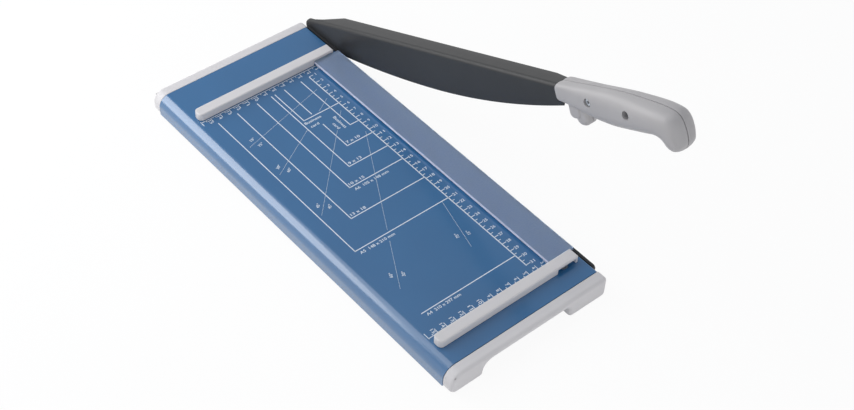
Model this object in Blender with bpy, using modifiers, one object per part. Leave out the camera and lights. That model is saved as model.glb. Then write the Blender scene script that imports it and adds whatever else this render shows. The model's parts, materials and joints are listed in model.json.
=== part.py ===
"""Desk guillotine paper cutter.

A sheet-steel table stands on two moulded end caps.  Two fences lie across it, and a clear guard strip
lies along its right edge on two small springs.  A folded steel blade arm with a two-piece moulded
handle turns on a bolt at the rear right corner and shears past a fixed bed knife.

X runs across the table, with the cutting plane at x = 0 and the table on its left.  Y runs to the
rear, with the rear fence's front face at y = 0.  Z is up from the desk.  At the end everything hangs
on one empty, which puts the origin under the middle of the whole cutter.
"""

import math

import bmesh
import bpy
import numpy as np
from mathutils import Matrix, Vector

MM = 0.001

# Overall sizes of the table.
TABLE_HEIGHT = 22.0 * MM        # desk to table top
TABLE_WIDTH = 172.4 * MM        # outer left edge to the cutting plane
FENCE_SPAN = 323.5 * MM         # between the facing sides of the two fences
REAR_MARGIN = 39.2 * MM         # table behind the rear fence
FRONT_MARGIN = 17.7 * MM        # table in front of the front fence
CLEARANCE = 0.3 * MM            # between pieces that touch or fit
OVERRUN = 1.0 * MM              # how far a cutter runs past what it cuts
WELD = 0.001 * MM               # points nearer than this become one
ARC_STEP = math.radians(16.0)   # turn between the points of a rounded corner
FLAT = math.radians(0.5)        # turn across an edge that a flat face doesn't need
SOFTENED = math.radians(40.0)   # turn across an edge that is rounded
SMOOTH = math.radians(30.0)     # turn across an edge that is still shaded smooth

# Sheet-steel table top.
SHEET = 1.2 * MM
ROLL_RADIUS = 11.0 * MM         # rolled left edge
BEND_RADIUS = 1.6 * MM          # right edge
LEFT_WALL_LIFT = 2.5 * MM       # left wall above the desk
RIGHT_WALL = 13.4 * MM          # height of the right wall, which the bed knife covers

# Bed knife, and the steel rail that backs it.
KNIFE_THICKNESS = 2.6 * MM
KNIFE_HEIGHT = 14.0 * MM
KNIFE_NOSE = 3.0 * MM           # rounding of its front top corner
KNIFE_INSET = 5.0 * MM          # knife shorter than the table at the front
KNIFE_REAR_INSET = 1.0 * MM
RAIL_WIDTH = 10.0 * MM
RAIL_HEIGHT = 12.2 * MM
RAIL_INSET = 6.0 * MM           # rail shorter than the table at each end
EAR_LENGTH = 19.0 * MM          # deeper stretch of knife and rail that holds the pivot bolt
EAR_WALL = 4.0 * MM             # metal left below and beside the bolt's hole
TAIL_LIFT = 1.0 * MM            # lower edge behind the ear, raised clear of the rear cap's foot
KNIFE_SCREWS = 5
KNIFE_SCREW_END = 30.0 * MM     # first and last screw from the rail's ends
KNIFE_SCREW_HEAD = 3.3 * MM     # radius
KNIFE_SCREW_SHANK = 1.9 * MM    # radius
KNIFE_SCREW_CONE = 1.4 * MM     # height of the countersunk head
KNIFE_SCREW_LENGTH = 11.0 * MM
KNIFE_SCREW_DROP = 7.0 * MM     # screws below the table top

# Moulded end caps.
CAP_LENGTH = 10.8 * MM
CAP_WALL = 2.4 * MM
CAP_RIGHT_INSET = 1.1 * MM      # cap's right side back from the cutting plane
CAP_LIFT = 0.8 * MM             # feet above the desk, on their rubber pads
CAP_EDGE = 2.2 * MM             # rounding of the outer edges
CAP_CORNER = 2.6 * MM           # rounding of the right top corner
CAP_TONGUE = 12.0 * MM          # how far the cap reaches into the table
CAP_TONGUE_WALL = 2.0 * MM
ARCH_LEFT = 138.4 * MM          # arch between the feet, left of the cutting plane
ARCH_RIGHT = 42.4 * MM
ARCH_HEIGHT = 14.6 * MM         # its top above the desk
ARCH_RADIUS = 6.0 * MM
ARCH_DRAFT = 1.5 * MM           # slope of its sides
FOOT_RADIUS = 3.2 * MM
FOOT_LENGTH = 24.8 * MM         # foot blocks, from the cap's face inward
LEFT_FOOT_HEIGHT = 11.2 * MM
LEFT_FOOT_WIDTH = 31.0 * MM
PAD_RADIUS = 6.0 * MM
PAD_HEIGHT = 2.6 * MM
PAD_EDGE = 0.6 * MM
PAD_INSET = 15.0 * MM           # pad's middle from the cap's outer sides
PAD_BACK = 10.5 * MM            # pad's middle from the cap's face
CAP_SCREW_HEAD = 3.2 * MM       # radius
CAP_SCREW_SHANK = 1.7 * MM      # radius
CAP_SCREW_HEAD_HEIGHT = 2.2 * MM
CAP_SCREW_SUNK = 2.6 * MM       # depth of its counterbore below the head
CAP_SCREW_GRIP = 9.0 * MM       # length of shank in the rail
CAP_SCREW_BACK = 4.0 * MM       # screw's axis from the rail's end

# Fences, and the pin at each one's right end.
FENCE_WIDTH = 10.8 * MM
FENCE_HEIGHT = 8.0 * MM         # fence top above the table
FENCE_LEFT = 160.4 * MM         # left of the cutting plane
FENCE_RIGHT = 8.8 * MM
FENCE_END_RADIUS = 3.0 * MM
FENCE_EDGE = 1.2 * MM
NOTCH_LEFT = 31.9 * MM          # opening for the guard's tongue
NOTCH_RIGHT = 11.0 * MM
NOTCH_HEIGHT = 5.4 * MM
FENCE_SCREWS = (150.0 * MM, 85.0 * MM)
FENCE_SCREW_HEAD = 3.2 * MM     # radius
FENCE_SCREW_SHANK = 1.5 * MM    # radius
FENCE_SCREW_HEAD_HEIGHT = 2.4 * MM
FENCE_SCREW_COVER = 2.0 * MM    # fence left above the screw's tip
PIN_RADIUS = 1.0 * MM
PIN_LENGTH = 3.9 * MM
PIN_PROUD = 2.0 * MM
PIN_SETBACK = 2.2 * MM          # pin's axis from the fence's front face
PIN_RISE = 4.5 * MM             # pin's axis above the table

# Clear guard strip, on a coil spring round a guide pin at each end.
GUARD_THICKNESS = 2.8 * MM
GUARD_LIFT = 2.2 * MM           # guard above the table at rest
GUARD_RIGHT = 3.4 * MM          # guard's right edge from the cutting plane
GUARD_EDGE = 0.5 * MM
TONGUE_LENGTH = 9.0 * MM
GUIDE_LEFT = 21.3 * MM          # guide pins, left of the cutting plane
GUIDE_RADIUS = 1.5 * MM
GUIDE_COVER = 1.0 * MM          # fence left above the guide pin
CUP_FLANGE_RADIUS = 6.5 * MM
CUP_FLANGE = 1.5 * MM
CUP_RADIUS = 4.7 * MM
CUP_BORE = 3.4 * MM
CUP_DEPTH = 5.9 * MM            # spring's seat below the cup's top
CUP_FLOOR = 1.4 * MM
SPRING_RADIUS = 2.3 * MM        # middle of the wire
SPRING_WIRE = 0.3 * MM          # radius of the wire
SPRING_TURNS = 5
SPRING_POINTS = 8               # points on each turn

# Pivot bolt at the rear right corner, with its washers and nut.
PIVOT_BACK = 27.0 * MM          # behind the rear fence's front face
PIVOT_DROP = 10.0 * MM          # below the table top
SHOULDER_RADIUS = 5.0 * MM
SHANK_RADIUS = 4.0 * MM
BOLT_HEAD_RADIUS = 9.0 * MM
BOLT_HEAD_HEIGHT = 4.6 * MM
DOME_RINGS = 6                  # rings of the head's dome
WAVE_WASHER = 0.8 * MM
WASHER = 1.2 * MM
WASHER_RADIUS = 7.6 * MM
NUT_HEIGHT = 6.4 * MM
NUT_RADIUS = 6.5 * MM           # across its flats
BOLT_PAST_NUT = 2.0 * MM

# Blade arm, in its own frame: forward from the pivot bolt along the straight top ridge, and up
# square to the ridge.
REST_ANGLE = math.radians(23.9)  # ridge above the table
BLADE_GAP = 0.3 * MM            # shearing gap between the two blades
ARM_STEEL = 2.2 * MM
RIDGE_RISE = 25.7 * MM          # ridge above the pivot bolt
FOLD_RADIUS = 3.5 * MM
FOLD_INNER = 1.3 * MM
FLANGE_WIDTH = 16.6 * MM
BLADE_LENGTH = 340.6 * MM       # pivot bolt to the handle's front edge
BLADE_IN_HANDLE = 7.5 * MM      # full section that goes into the handle
HEEL_BACK = 13.3 * MM           # heel corner's centre behind the pivot bolt
HEEL_RADIUS = 9.0 * MM
LOBE_RADIUS = 11.0 * MM         # end of the arm round the bolt
HEEL_STEPS = 7
LOBE_STEPS = 11
LOBE_STOP = 4.0                 # degrees that the lobe stops short of the cutting edge
BELLY_DEPTH = 38.1 * MM         # deepest point of the cutting edge below the ridge
BELLY_REACH = 166.1 * MM        # pivot bolt to that point
BELLY_REAR_RADIUS = 1240.0 * MM
BELLY_FRONT_RADIUS = 800.0 * MM
BELLY_START = 12.0 * MM         # where the cutting edge leaves the lobe
BELLY_POINTS = 26
GRIND_HEIGHT = 4.5 * MM         # ground bevel on the outer side
GRIND_LAND = 0.5 * MM           # thickness left at the cutting edge
GRIND_START = 30.0 * MM
GRIND_RUNOUT = 25.0 * MM
HEEL_FLANGE = 0.4 * MM          # flange left past the web at the heel
FLANGE_START = 5.5 * MM         # where the flange starts to widen, behind the bolt
FLANGE_FULL = 24.0 * MM         # where it has its full width, ahead of the bolt
FLANGE_TAPER = 22.0 * MM        # narrowing before the handle
FLANGE_FRONT_WIDTH = 13.2 * MM
TANG_LENGTH = 118.5 * MM        # from the handle's front edge
TANG_TOP = 3.3 * MM             # below the ridge
TANG_HEIGHT = 13.6 * MM
TANG_THROAT = 15.4 * MM         # tang's lower edge below the ridge near the handle's front
TANG_STEP = 26.0 * MM

# Handle, lofted along its length and parted on a vertical seam.
HANDLE_LENGTH = 134.5 * MM
HANDLE_DEPTH = 30.0 * MM
HANDLE_WIDTH = 28.4 * MM
HANDLE_SEAM = 8.3 * MM          # seam's plane from the cutting plane
SECTION_POINTS = 28
RIB_GAP = 0.5 * MM              # between the right half's rib and the left half's slot
HANDLE_BOSS = 4.5 * MM          # radius of the screw bosses
HANDLE_BORE = 3.5 * MM          # radius of the screw recesses
HANDLE_BORE_FLOOR = 2.2 * MM    # floor of the recesses from the cutting plane
BORE_STEPS = 24                 # sides of the bosses and recesses
HANDLE_SCREW_HEAD = 3.2 * MM    # radius
HANDLE_SCREW_HEAD_HEIGHT = 2.0 * MM
HANDLE_SCREW_SHANK = 1.7 * MM   # radius
HANDLE_SCREW_LENGTH = 11.0 * MM
HANDLE_TABLE_GAP = 0.6 * MM     # handle's lower left side from the cutting plane
RELIEF_RISE = 20.0 * MM         # top of that relief below the ridge
RELIEF_LENGTH = 62.0 * MM

# Stations of the handle, front to back: the top point and the bottom point of each section, along
# the handle from its front edge and above the ridge, its width, and how square it is.
HANDLE_STATION_SHARES = (
    (0.005, -0.020, 0.008, -0.470, 0.630, 5.0),
    (0.022, 0.030, 0.024, -0.505, 0.660, 5.0),
    (0.063, 0.050, 0.070, -0.530, 0.668, 4.6),
    (0.167, 0.073, 0.174, -0.640, 0.680, 3.8),
    (0.256, 0.100, 0.256, -0.740, 0.700, 3.2),
    (0.337, 0.117, 0.337, -0.808, 0.730, 2.9),
    (0.463, 0.143, 0.463, -0.855, 0.790, 2.7),
    (0.581, 0.147, 0.576, -0.825, 0.890, 2.6),
    (0.663, 0.127, 0.662, -0.790, 0.950, 2.6),
    (0.737, 0.107, 0.740, -0.760, 0.985, 2.6),
    (0.819, 0.077, 0.805, -0.735, 1.000, 2.6),
    (0.885, 0.033, 0.838, -0.765, 1.000, 2.6),
    (0.941, -0.040, 0.857, -0.830, 0.990, 2.6),
    (0.975, -0.200, 0.867, -0.905, 0.965, 2.5),
    (0.990, -0.430, 0.878, -0.980, 0.920, 2.5),
    (0.995, -0.640, 0.893, -1.035, 0.850, 2.4),
    (0.991, -0.840, 0.915, -1.065, 0.740, 2.3),
    (0.972, -0.985, 0.940, -1.060, 0.500, 2.2),
)
HANDLE_SCREW_SHARES = ((0.283, -0.270), (0.620, -0.265))

# Nub under the handle's front: two lobes, each from its front to its back along the handle, down to
# its depth below the ridge, and from its left to its right side across the seam.
NUB_FRONT_LOBE_SHARES = {"along": (0.080, 0.175), "depth": 0.930, "across": (0.030, 0.160)}
NUB_MAIN_LOBE_SHARES = {"along": (0.122, 0.224), "depth": 1.120, "across": (0.080, 0.500)}
NUB_RADIUS = 4.8 * MM
NUB_EDGE = 1.4 * MM
NUB_ROOT = 11.0 * MM            # nub's top below the ridge, inside the grip

# Places that follow from the sizes above.
sheet_underside = TABLE_HEIGHT - SHEET
front_fence_y = (-FENCE_SPAN - FENCE_WIDTH, -FENCE_SPAN)
rear_fence_y = (0.0, FENCE_WIDTH)
sheet_front = front_fence_y[0] - FRONT_MARGIN
sheet_rear = rear_fence_y[1] + REAR_MARGIN
sheet_right = -KNIFE_THICKNESS - CLEARANCE
rail_right = sheet_right - SHEET - CLEARANCE
rail_left = rail_right - RAIL_WIDTH
rail_top = sheet_underside - CLEARANCE
rail_bottom = rail_top - RAIL_HEIGHT
rail_front = sheet_front + RAIL_INSET
rail_rear = sheet_rear - RAIL_INSET
knife_front = sheet_front + KNIFE_INSET
knife_rear = sheet_rear - KNIFE_REAR_INSET
pivot_z = TABLE_HEIGHT - PIVOT_DROP
web_outer = BLADE_GAP + ARM_STEEL
knife_screw_ys = np.linspace(rail_front + KNIFE_SCREW_END, rail_rear - KNIFE_SCREW_END, KNIFE_SCREWS)

# Colours as linear RGB, with roughness and metallic.
FINISHES = {
    "blue_enamel": ((0.035, 0.115, 0.230), 0.35, 0.0),
    "grey_plastic": ((0.520, 0.515, 0.520), 0.50, 0.0),
    "black_steel": ((0.022, 0.025, 0.027), 0.38, 0.4),
    "clear_plastic": ((0.450, 0.520, 0.620), 0.30, 0.0),
    "bright_steel": ((0.560, 0.570, 0.580), 0.30, 1.0),
    "black_rubber": ((0.018, 0.018, 0.018), 0.80, 0.0),
    "black_plastic": ((0.020, 0.020, 0.020), 0.55, 0.0),
}

model = bpy.data.collections.new("paper_cutter")
cutters = bpy.data.collections.new("paper_cutter_cutters")


def clear_scene():
    for item in list(bpy.data.objects):
        bpy.data.objects.remove(item, do_unlink=True)
    for group in (model, cutters):
        bpy.context.scene.collection.children.link(group)


def add_empty(name, parent=None, location=(0.0, 0.0, 0.0), rotation=(0.0, 0.0, 0.0)):
    item = bpy.data.objects.new(name, None)
    item.location = location
    item.rotation_euler = rotation
    item.parent = parent
    model.objects.link(item)
    return item


clear_scene()
cutter_root = add_empty("paper_cutter")
arm_pivot = add_empty("arm_pivot", cutter_root, (0.0, PIVOT_BACK, pivot_z), (-REST_ANGLE, 0.0, 0.0))


def finish(name):
    """Return the named material, made the first time that it is asked for."""
    if name in bpy.data.materials:
        return bpy.data.materials[name]
    colour, roughness, metallic = FINISHES[name]
    material = bpy.data.materials.new(name)
    material.use_nodes = True
    shader = material.node_tree.nodes["Principled BSDF"]
    shader.inputs["Base Color"].default_value = (*colour, 1.0)
    shader.inputs["Roughness"].default_value = roughness
    shader.inputs["Metallic"].default_value = metallic
    material.diffuse_color = (*colour, 1.0)
    return material


def add_object(name, mesh, material, parent, location):
    """Put a mesh in the scene as a part, or as a cutter where it has no material."""
    item = bpy.data.objects.new(name, mesh)
    item.location = location
    item.parent = parent
    if material is None:
        cutters.objects.link(item)
        item.hide_render = True
        item.display_type = "WIRE"
    else:
        model.objects.link(item)
        mesh.materials.append(finish(material))
    return item


# Outlines

def arc(centre, radius, start, end, steps):
    """Points on an arc of a circle, between two angles in degrees."""
    angles = np.radians(np.linspace(start, end, steps + 1))
    return [(centre[0] + radius * math.cos(a), centre[1] + radius * math.sin(a)) for a in angles]


def round_off(corners):
    """Turn (u, v, radius) corners of a closed outline into points, with an arc at each radius.

    Two corners that would need more than the side between them share it by their radii.
    """
    result = []
    for index, (u, v, radius) in enumerate(corners):
        if radius <= 0.0:
            result.append((u, v))
            continue
        corner = Vector((u, v))
        last, following = corners[index - 1], corners[(index + 1) % len(corners)]
        before = Vector(last[:2]) - corner
        after = Vector(following[:2]) - corner
        half = before.angle(after) / 2.0
        room = min(side.length * radius / (radius + other[2])
                   for side, other in ((before, last), (after, following)))
        reach = min(radius / math.tan(half), 0.999 * room)
        radius = reach * math.tan(half)
        bisector = (before.normalized() + after.normalized()).normalized()
        centre = corner + bisector * (radius / math.sin(half))
        first = corner + before.normalized() * reach - centre
        end = corner + after.normalized() * reach - centre
        sweep = (math.pi - 2.0 * half) * math.copysign(1.0, first.cross(end))
        start = math.atan2(first.y, first.x)
        steps = max(2, round(abs(sweep) / ARC_STEP))
        result += arc(centre, radius, math.degrees(start), math.degrees(start + sweep), steps)
    return result


def sharp(points):
    """Give plain (u, v) points the radius of zero that an outline's corners carry."""
    return [(u, v, 0.0) for u, v in points]


def rectangle(left, right, low, high, radius=0.0):
    return [(left, low, radius), (right, low, radius), (right, high, radius), (left, high, radius)]


def flipped(corners):
    """The outline with its first axis turned round, for lengths measured forward, towards -Y."""
    return [(-u, v, radius) for u, v, radius in corners]


# Solids

DECIMALS = 7                    # places after the point, in metres, that a vertex keeps

# How an outline's (u, v) and the way that it is extruded lie in the model.
PLANES = {
    "XY": Matrix(((1, 0, 0), (0, 1, 0), (0, 0, 1))),
    "XZ": Matrix(((1, 0, 0), (0, 0, -1), (0, 1, 0))),
    "YZ": Matrix(((0, 0, 1), (1, 0, 0), (0, 1, 0))),
}
DEPTH_AXIS = {"XY": 2, "XZ": 1, "YZ": 0}


def centred(name, mesh, material, parent):
    """Add a mesh as an object whose origin is the middle of its box, with its flat faces exactly flat."""
    points = np.empty(len(mesh.vertices) * 3)
    mesh.vertices.foreach_get("co", points)
    points = points.reshape(-1, 3)
    middle = np.round((points.min(axis=0) + points.max(axis=0)) / 2.0, DECIMALS)
    mesh.vertices.foreach_set("co", np.round(points - middle, DECIMALS).ravel())
    return add_object(name, mesh, material, parent, middle)


def soften(item, width, segments=2):
    """Round an object's sharp edges."""
    modifier = item.modifiers.new("Rounded edges", "BEVEL")
    modifier.width = width
    modifier.segments = segments
    modifier.limit_method = "ANGLE"
    modifier.angle_limit = SOFTENED


def curve_mesh(item):
    """Turn a curve object into a welded mesh in the space that it stands in, and remove the curve."""
    bpy.context.view_layer.update()
    graph = bpy.context.evaluated_depsgraph_get()
    mesh = bpy.data.meshes.new_from_object(item.evaluated_get(graph))
    mesh.transform(item.matrix_world)
    curve = item.data
    bpy.data.objects.remove(item, do_unlink=True)
    bpy.data.curves.remove(curve)
    shape = bmesh.new()
    shape.from_mesh(mesh)
    bmesh.ops.remove_doubles(shape, verts=shape.verts, dist=WELD)
    bmesh.ops.recalc_face_normals(shape, faces=shape.faces)
    bmesh.ops.dissolve_limit(shape, angle_limit=FLAT, verts=shape.verts, edges=shape.edges)
    shape.to_mesh(mesh)
    shape.free()
    return mesh


def prism(name, outline, plane, low, high, material=None, parent=cutter_root, bevel=0.0):
    """Extrude a flat outline between two places on the axis that its plane leaves free."""
    points = round_off(outline)
    curve = bpy.data.curves.new(name, "CURVE")
    curve.dimensions = "2D"
    curve.fill_mode = "BOTH"
    curve.extrude = (high - low) / 2.0
    spline = curve.splines.new("POLY")
    spline.points.add(len(points) - 1)
    for point, (u, v) in zip(spline.points, points):
        point.co = (u, v, 0.0, 1.0)
    spline.use_cyclic_u = True
    item = bpy.data.objects.new(name, curve)
    bpy.context.scene.collection.objects.link(item)
    place = Vector()
    place[DEPTH_AXIS[plane]] = (low + high) / 2.0
    item.matrix_world = Matrix.Translation(place) @ PLANES[plane].to_4x4()
    item = centred(name, curve_mesh(item), material, parent)
    if bevel > 0.0:
        soften(item, bevel)
    return item


def box(name, low, high, material=None, parent=cutter_root):
    """A box between two corners, from the unit cube."""
    shape = bmesh.new()
    bmesh.ops.create_cube(shape, size=1.0)
    bmesh.ops.scale(shape, vec=Vector(high) - Vector(low), verts=shape.verts)
    mesh = bpy.data.meshes.new(name)
    shape.to_mesh(mesh)
    shape.free()
    return add_object(name, mesh, material, parent, (Vector(low) + Vector(high)) / 2.0)


# The way that a turned piece's own +Z points.
POINTING = {
    "+Z": (0.0, 0.0, 0.0),
    "-Z": (math.pi, 0.0, 0.0),
    "+X": (0.0, math.pi / 2.0, 0.0),
    "-X": (0.0, -math.pi / 2.0, 0.0),
}


def turned(name, profile, place, way="+Z", material=None, parent=cutter_root, steps=16):
    """Turn a profile of (radius, height) points, listed from the top down its outer side."""
    mesh = bpy.data.meshes.new(name)
    edges = [(index, index + 1) for index in range(len(profile) - 1)]
    if profile[0][0] > 0.0:
        edges.append((len(profile) - 1, 0))
    mesh.from_pydata([(radius, 0.0, height) for radius, height in profile], edges, [])
    item = add_object(name, mesh, material, parent, place)
    item.rotation_euler = POINTING[way]
    screw = item.modifiers.new("Turned", "SCREW")
    screw.steps = steps
    screw.render_steps = steps
    screw.use_merge_vertices = True
    screw.merge_threshold = WELD
    screw.use_smooth_shade = True
    return item


def rod(name, radius, low, high, place, way="+Z", material=None, parent=cutter_root, steps=16):
    """A plain round bar, mostly used to drill."""
    profile = [(0.0, high), (radius, high), (radius, low), (0.0, low)]
    return turned(name, profile, place, way, material, parent, steps)


def loft(name, sections, material=None, parent=cutter_root):
    """Skin a row of closed sections, which all have the same number of points, and cap its ends."""
    shape = bmesh.new()
    rings = [[shape.verts.new(point) for point in section] for section in sections]
    for ring, following in zip(rings, rings[1:]):
        for index in range(len(ring)):
            other = (index + 1) % len(ring)
            shape.faces.new((ring[index], ring[other], following[other], following[index]))
    shape.faces.new(rings[0])
    shape.faces.new(rings[-1])
    bmesh.ops.recalc_face_normals(shape, faces=shape.faces)
    mesh = bpy.data.meshes.new(name)
    shape.to_mesh(mesh)
    shape.free()
    return centred(name, mesh, material, parent)


def combine(item, operation, *others):
    for other in others:
        modifier = item.modifiers.new(f"{operation.title()} {other.name}", "BOOLEAN")
        modifier.operation = operation
        modifier.solver = "EXACT"
        modifier.object = other


def cut(item, *others):
    combine(item, "DIFFERENCE", *others)


def join(item, *others):
    combine(item, "UNION", *others)


def keep(item, *others):
    combine(item, "INTERSECT", *others)


# Screws

SCREW_HEAD_SHARES = ((0.0, 1.0), (0.70, 1.0), (1.0, 0.55), (1.0, 0.0))
RECESS_SPAN_SHARE = 0.62
RECESS_WIDTH_SHARE = 0.13
RECESS_DEPTH_SHARE = 0.60


def cross_recess(name, head, depth, place, way, parent):
    """A cross for sinking in the top of a screw's head."""
    span = head * RECESS_SPAN_SHARE
    half = head * RECESS_WIDTH_SHARE
    quarter = [(span, -half), (span, half), (half, half)]
    points = []
    for turn in range(4):
        points += [Matrix.Rotation(turn * math.pi / 2.0, 2) @ Vector(point) for point in quarter]
    item = prism(name, sharp(points), "XY", -depth, OVERRUN, parent=parent)
    item.data.transform(Matrix.Translation((0.0, 0.0, (OVERRUN - depth) / 2.0)))
    item.location = place
    item.rotation_euler = POINTING[way]
    return item


def screw(name, place, way, head, thickness, shank, length, flush=False, parent=cutter_root):
    """A screw whose head bears at its place, or has its flat top there where it is flush."""
    if flush:
        top = 0.0
        profile = [(0.0, 0.0), (head, 0.0), (shank, -thickness), (shank, -length), (0.0, -length)]
    else:
        top = thickness
        profile = [(head * radius, thickness * height) for radius, height in SCREW_HEAD_SHARES]
        profile += [(shank, 0.0), (shank, -length), (0.0, -length)]
    item = turned(name, profile, place, way, "bright_steel", parent, steps=12)
    out = Vector((0.0, 0.0, top))
    out.rotate(item.rotation_euler)
    depth = thickness * RECESS_DEPTH_SHARE
    cut(item, cross_recess(f"{name}_recess", head, depth, Vector(place) + out, way, parent))
    return item


# Table top: one sheet rolled down on the left and bent square on the right, where the bed knife and
# its rail sandwich the right wall.

def sheet_path():
    """Outer line of the sheet's section, from the left wall's lower edge to the right wall's."""
    corners = [
        (-TABLE_WIDTH, TABLE_HEIGHT, ROLL_RADIUS),
        (sheet_right, TABLE_HEIGHT, BEND_RADIUS),
        (sheet_right, TABLE_HEIGHT - RIGHT_WALL, 0.0),
        (-TABLE_WIDTH, LEFT_WALL_LIFT, 0.0),
    ]
    points = round_off(corners)
    return points[-1:] + points[:-1]


def make_table_sheet():
    shape = bmesh.new()
    line = [shape.verts.new((x, sheet_front, z)) for x, z in sheet_path()]
    edges = [shape.edges.new(pair) for pair in zip(line, line[1:])]
    grown = bmesh.ops.extrude_edge_only(shape, edges=edges)["geom"]
    moved = [element for element in grown if isinstance(element, bmesh.types.BMVert)]
    bmesh.ops.translate(shape, verts=moved, vec=(0.0, sheet_rear - sheet_front, 0.0))
    bmesh.ops.recalc_face_normals(shape, faces=shape.faces)
    top = max(shape.faces, key=lambda face: face.calc_area())
    if top.normal.z < 0.0:
        bmesh.ops.reverse_faces(shape, faces=shape.faces)
    mesh = bpy.data.meshes.new("table_sheet")
    shape.to_mesh(mesh)
    shape.free()
    sheet = centred("table_sheet", mesh, "blue_enamel", cutter_root)
    solid = sheet.modifiers.new("Sheet thickness", "SOLIDIFY")
    solid.thickness = SHEET
    solid.offset = -1.0
    solid.use_even_offset = True

    depth = (sheet_underside - OVERRUN, TABLE_HEIGHT + OVERRUN)
    for side, (front, rear) in (("front", front_fence_y), ("rear", rear_fence_y)):
        middle = (front + rear) / 2.0
        for number, left in enumerate(FENCE_SCREWS, 1):
            radius = FENCE_SCREW_SHANK + CLEARANCE
            cut(sheet, rod(f"sheet_hole_{side}_{number}", radius, *depth, (-left, middle, 0.0)))
        cut(sheet, rod(f"sheet_spring_hole_{side}", CUP_BORE, *depth, (-GUIDE_LEFT, middle, 0.0)))
    across = (sheet_right - SHEET - OVERRUN, sheet_right + CLEARANCE / 2.0)
    for number, y in enumerate(knife_screw_ys, 1):
        place = (0.0, y, TABLE_HEIGHT - KNIFE_SCREW_DROP)
        radius = KNIFE_SCREW_SHANK + CLEARANCE
        cut(sheet, rod(f"sheet_knife_hole_{number}", radius, *across, place, "+X"))
    slot = SHANK_RADIUS + CLEARANCE
    outline = rectangle(PIVOT_BACK - slot, PIVOT_BACK + slot, pivot_z - RIGHT_WALL, pivot_z + slot)
    outline = [(y, z, slot if z > pivot_z else 0.0) for y, z, radius in outline]
    cut(sheet, prism("sheet_bolt_slot", outline, "YZ", *across))


def bar_outline(front, rear, low, high, nose, ear_low):
    """Side of a long bar with a deeper ear round the pivot bolt near its rear end."""
    ear_front = PIVOT_BACK - EAR_LENGTH / 2.0
    ear_rear = PIVOT_BACK + SHANK_RADIUS + EAR_WALL
    slope = low - ear_low
    return [
        (front, low, 0.0),
        (ear_front - slope, low, EAR_WALL),
        (ear_front, ear_low, EAR_WALL / 2.0),
        (ear_rear, ear_low, EAR_WALL / 2.0),
        (ear_rear, low + TAIL_LIFT, 0.0),
        (rear, low + TAIL_LIFT, 0.0),
        (rear, high, 0.0),
        (front, high, nose),
    ]


def make_knife_and_rail():
    """The bed knife is screwed through the sheet's right wall to a steel rail under the table."""
    ear_low = pivot_z - SHANK_RADIUS - EAR_WALL
    knife_low = TABLE_HEIGHT - KNIFE_HEIGHT
    outline = bar_outline(knife_front, knife_rear, knife_low, TABLE_HEIGHT, KNIFE_NOSE, ear_low)
    knife = prism("bed_knife", outline, "YZ", -KNIFE_THICKNESS, 0.0, "black_steel")
    outline = bar_outline(rail_front, rail_rear, rail_bottom, rail_top, 0.0, ear_low)
    rail = prism("knife_rail", outline, "YZ", rail_left, rail_right, "bright_steel")

    bolt_hole = SHANK_RADIUS + CLEARANCE
    pivot = (0.0, PIVOT_BACK, pivot_z)
    cut(knife, rod("knife_bolt_hole", bolt_hole, -KNIFE_THICKNESS - OVERRUN, OVERRUN, pivot, "+X"))
    cut(rail, rod("rail_bolt_hole", bolt_hole, rail_left - OVERRUN, rail_right + OVERRUN, pivot, "+X"))
    for number, y in enumerate(knife_screw_ys, 1):
        place = Vector((-CLEARANCE, y, TABLE_HEIGHT - KNIFE_SCREW_DROP))
        screw(f"bed_knife_screw_{number}", place, "+X", KNIFE_SCREW_HEAD, KNIFE_SCREW_CONE,
              KNIFE_SCREW_SHANK, KNIFE_SCREW_LENGTH, flush=True)
        head = KNIFE_SCREW_HEAD + CLEARANCE
        shank = KNIFE_SCREW_SHANK + CLEARANCE
        cone_end = -KNIFE_SCREW_CONE - CLEARANCE
        profile = [
            (0.0, OVERRUN),
            (head, OVERRUN),
            (head, -CLEARANCE / 2.0),
            (shank, cone_end),
            (shank, -KNIFE_THICKNESS - OVERRUN),
            (0.0, -KNIFE_THICKNESS - OVERRUN),
        ]
        cut(knife, turned(f"knife_countersink_{number}", profile, place, "+X"))
        end = -KNIFE_SCREW_LENGTH - CLEARANCE
        cut(rail, rod(f"rail_hole_{number}", shank, end, rail_right + OVERRUN, place, "+X"))
    for side, y in (("front", rail_front + CAP_SCREW_BACK), ("rear", rail_rear - CAP_SCREW_BACK)):
        place = ((rail_left + rail_right) / 2.0, y, rail_bottom)
        depth = CAP_SCREW_GRIP + CLEARANCE
        radius = CAP_SCREW_SHANK + CLEARANCE
        cut(rail, rod(f"rail_cap_hole_{side}", radius, -OVERRUN, depth, place))


# End caps: one moulding at each end of the table, standing on two feet with rubber pads.

def cap_outline(inset):
    """Section of the cap seen from its end, drawn in from its outer line by the inset."""
    left = -TABLE_WIDTH + inset
    right = -CAP_RIGHT_INSET - inset
    low = CAP_LIFT + inset
    high = TABLE_HEIGHT - inset
    arch_top = ARCH_HEIGHT + inset
    return [
        (left, low, max(FOOT_RADIUS - inset, 0.0)),
        (-ARCH_LEFT - inset - ARCH_DRAFT / 2.0, low, max(FOOT_RADIUS - inset, 0.0)),
        (-ARCH_LEFT - inset + ARCH_DRAFT / 2.0, arch_top, ARCH_RADIUS + inset),
        (-ARCH_RIGHT + inset - ARCH_DRAFT / 2.0, arch_top, ARCH_RADIUS + inset),
        (-ARCH_RIGHT + inset + ARCH_DRAFT / 2.0, low, max(FOOT_RADIUS - inset, 0.0)),
        (right, low, max(FOOT_RADIUS - inset, 0.0)),
        (right, high, max(CAP_CORNER - inset, 0.0)),
        (left, high, ROLL_RADIUS - inset),
    ]


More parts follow.
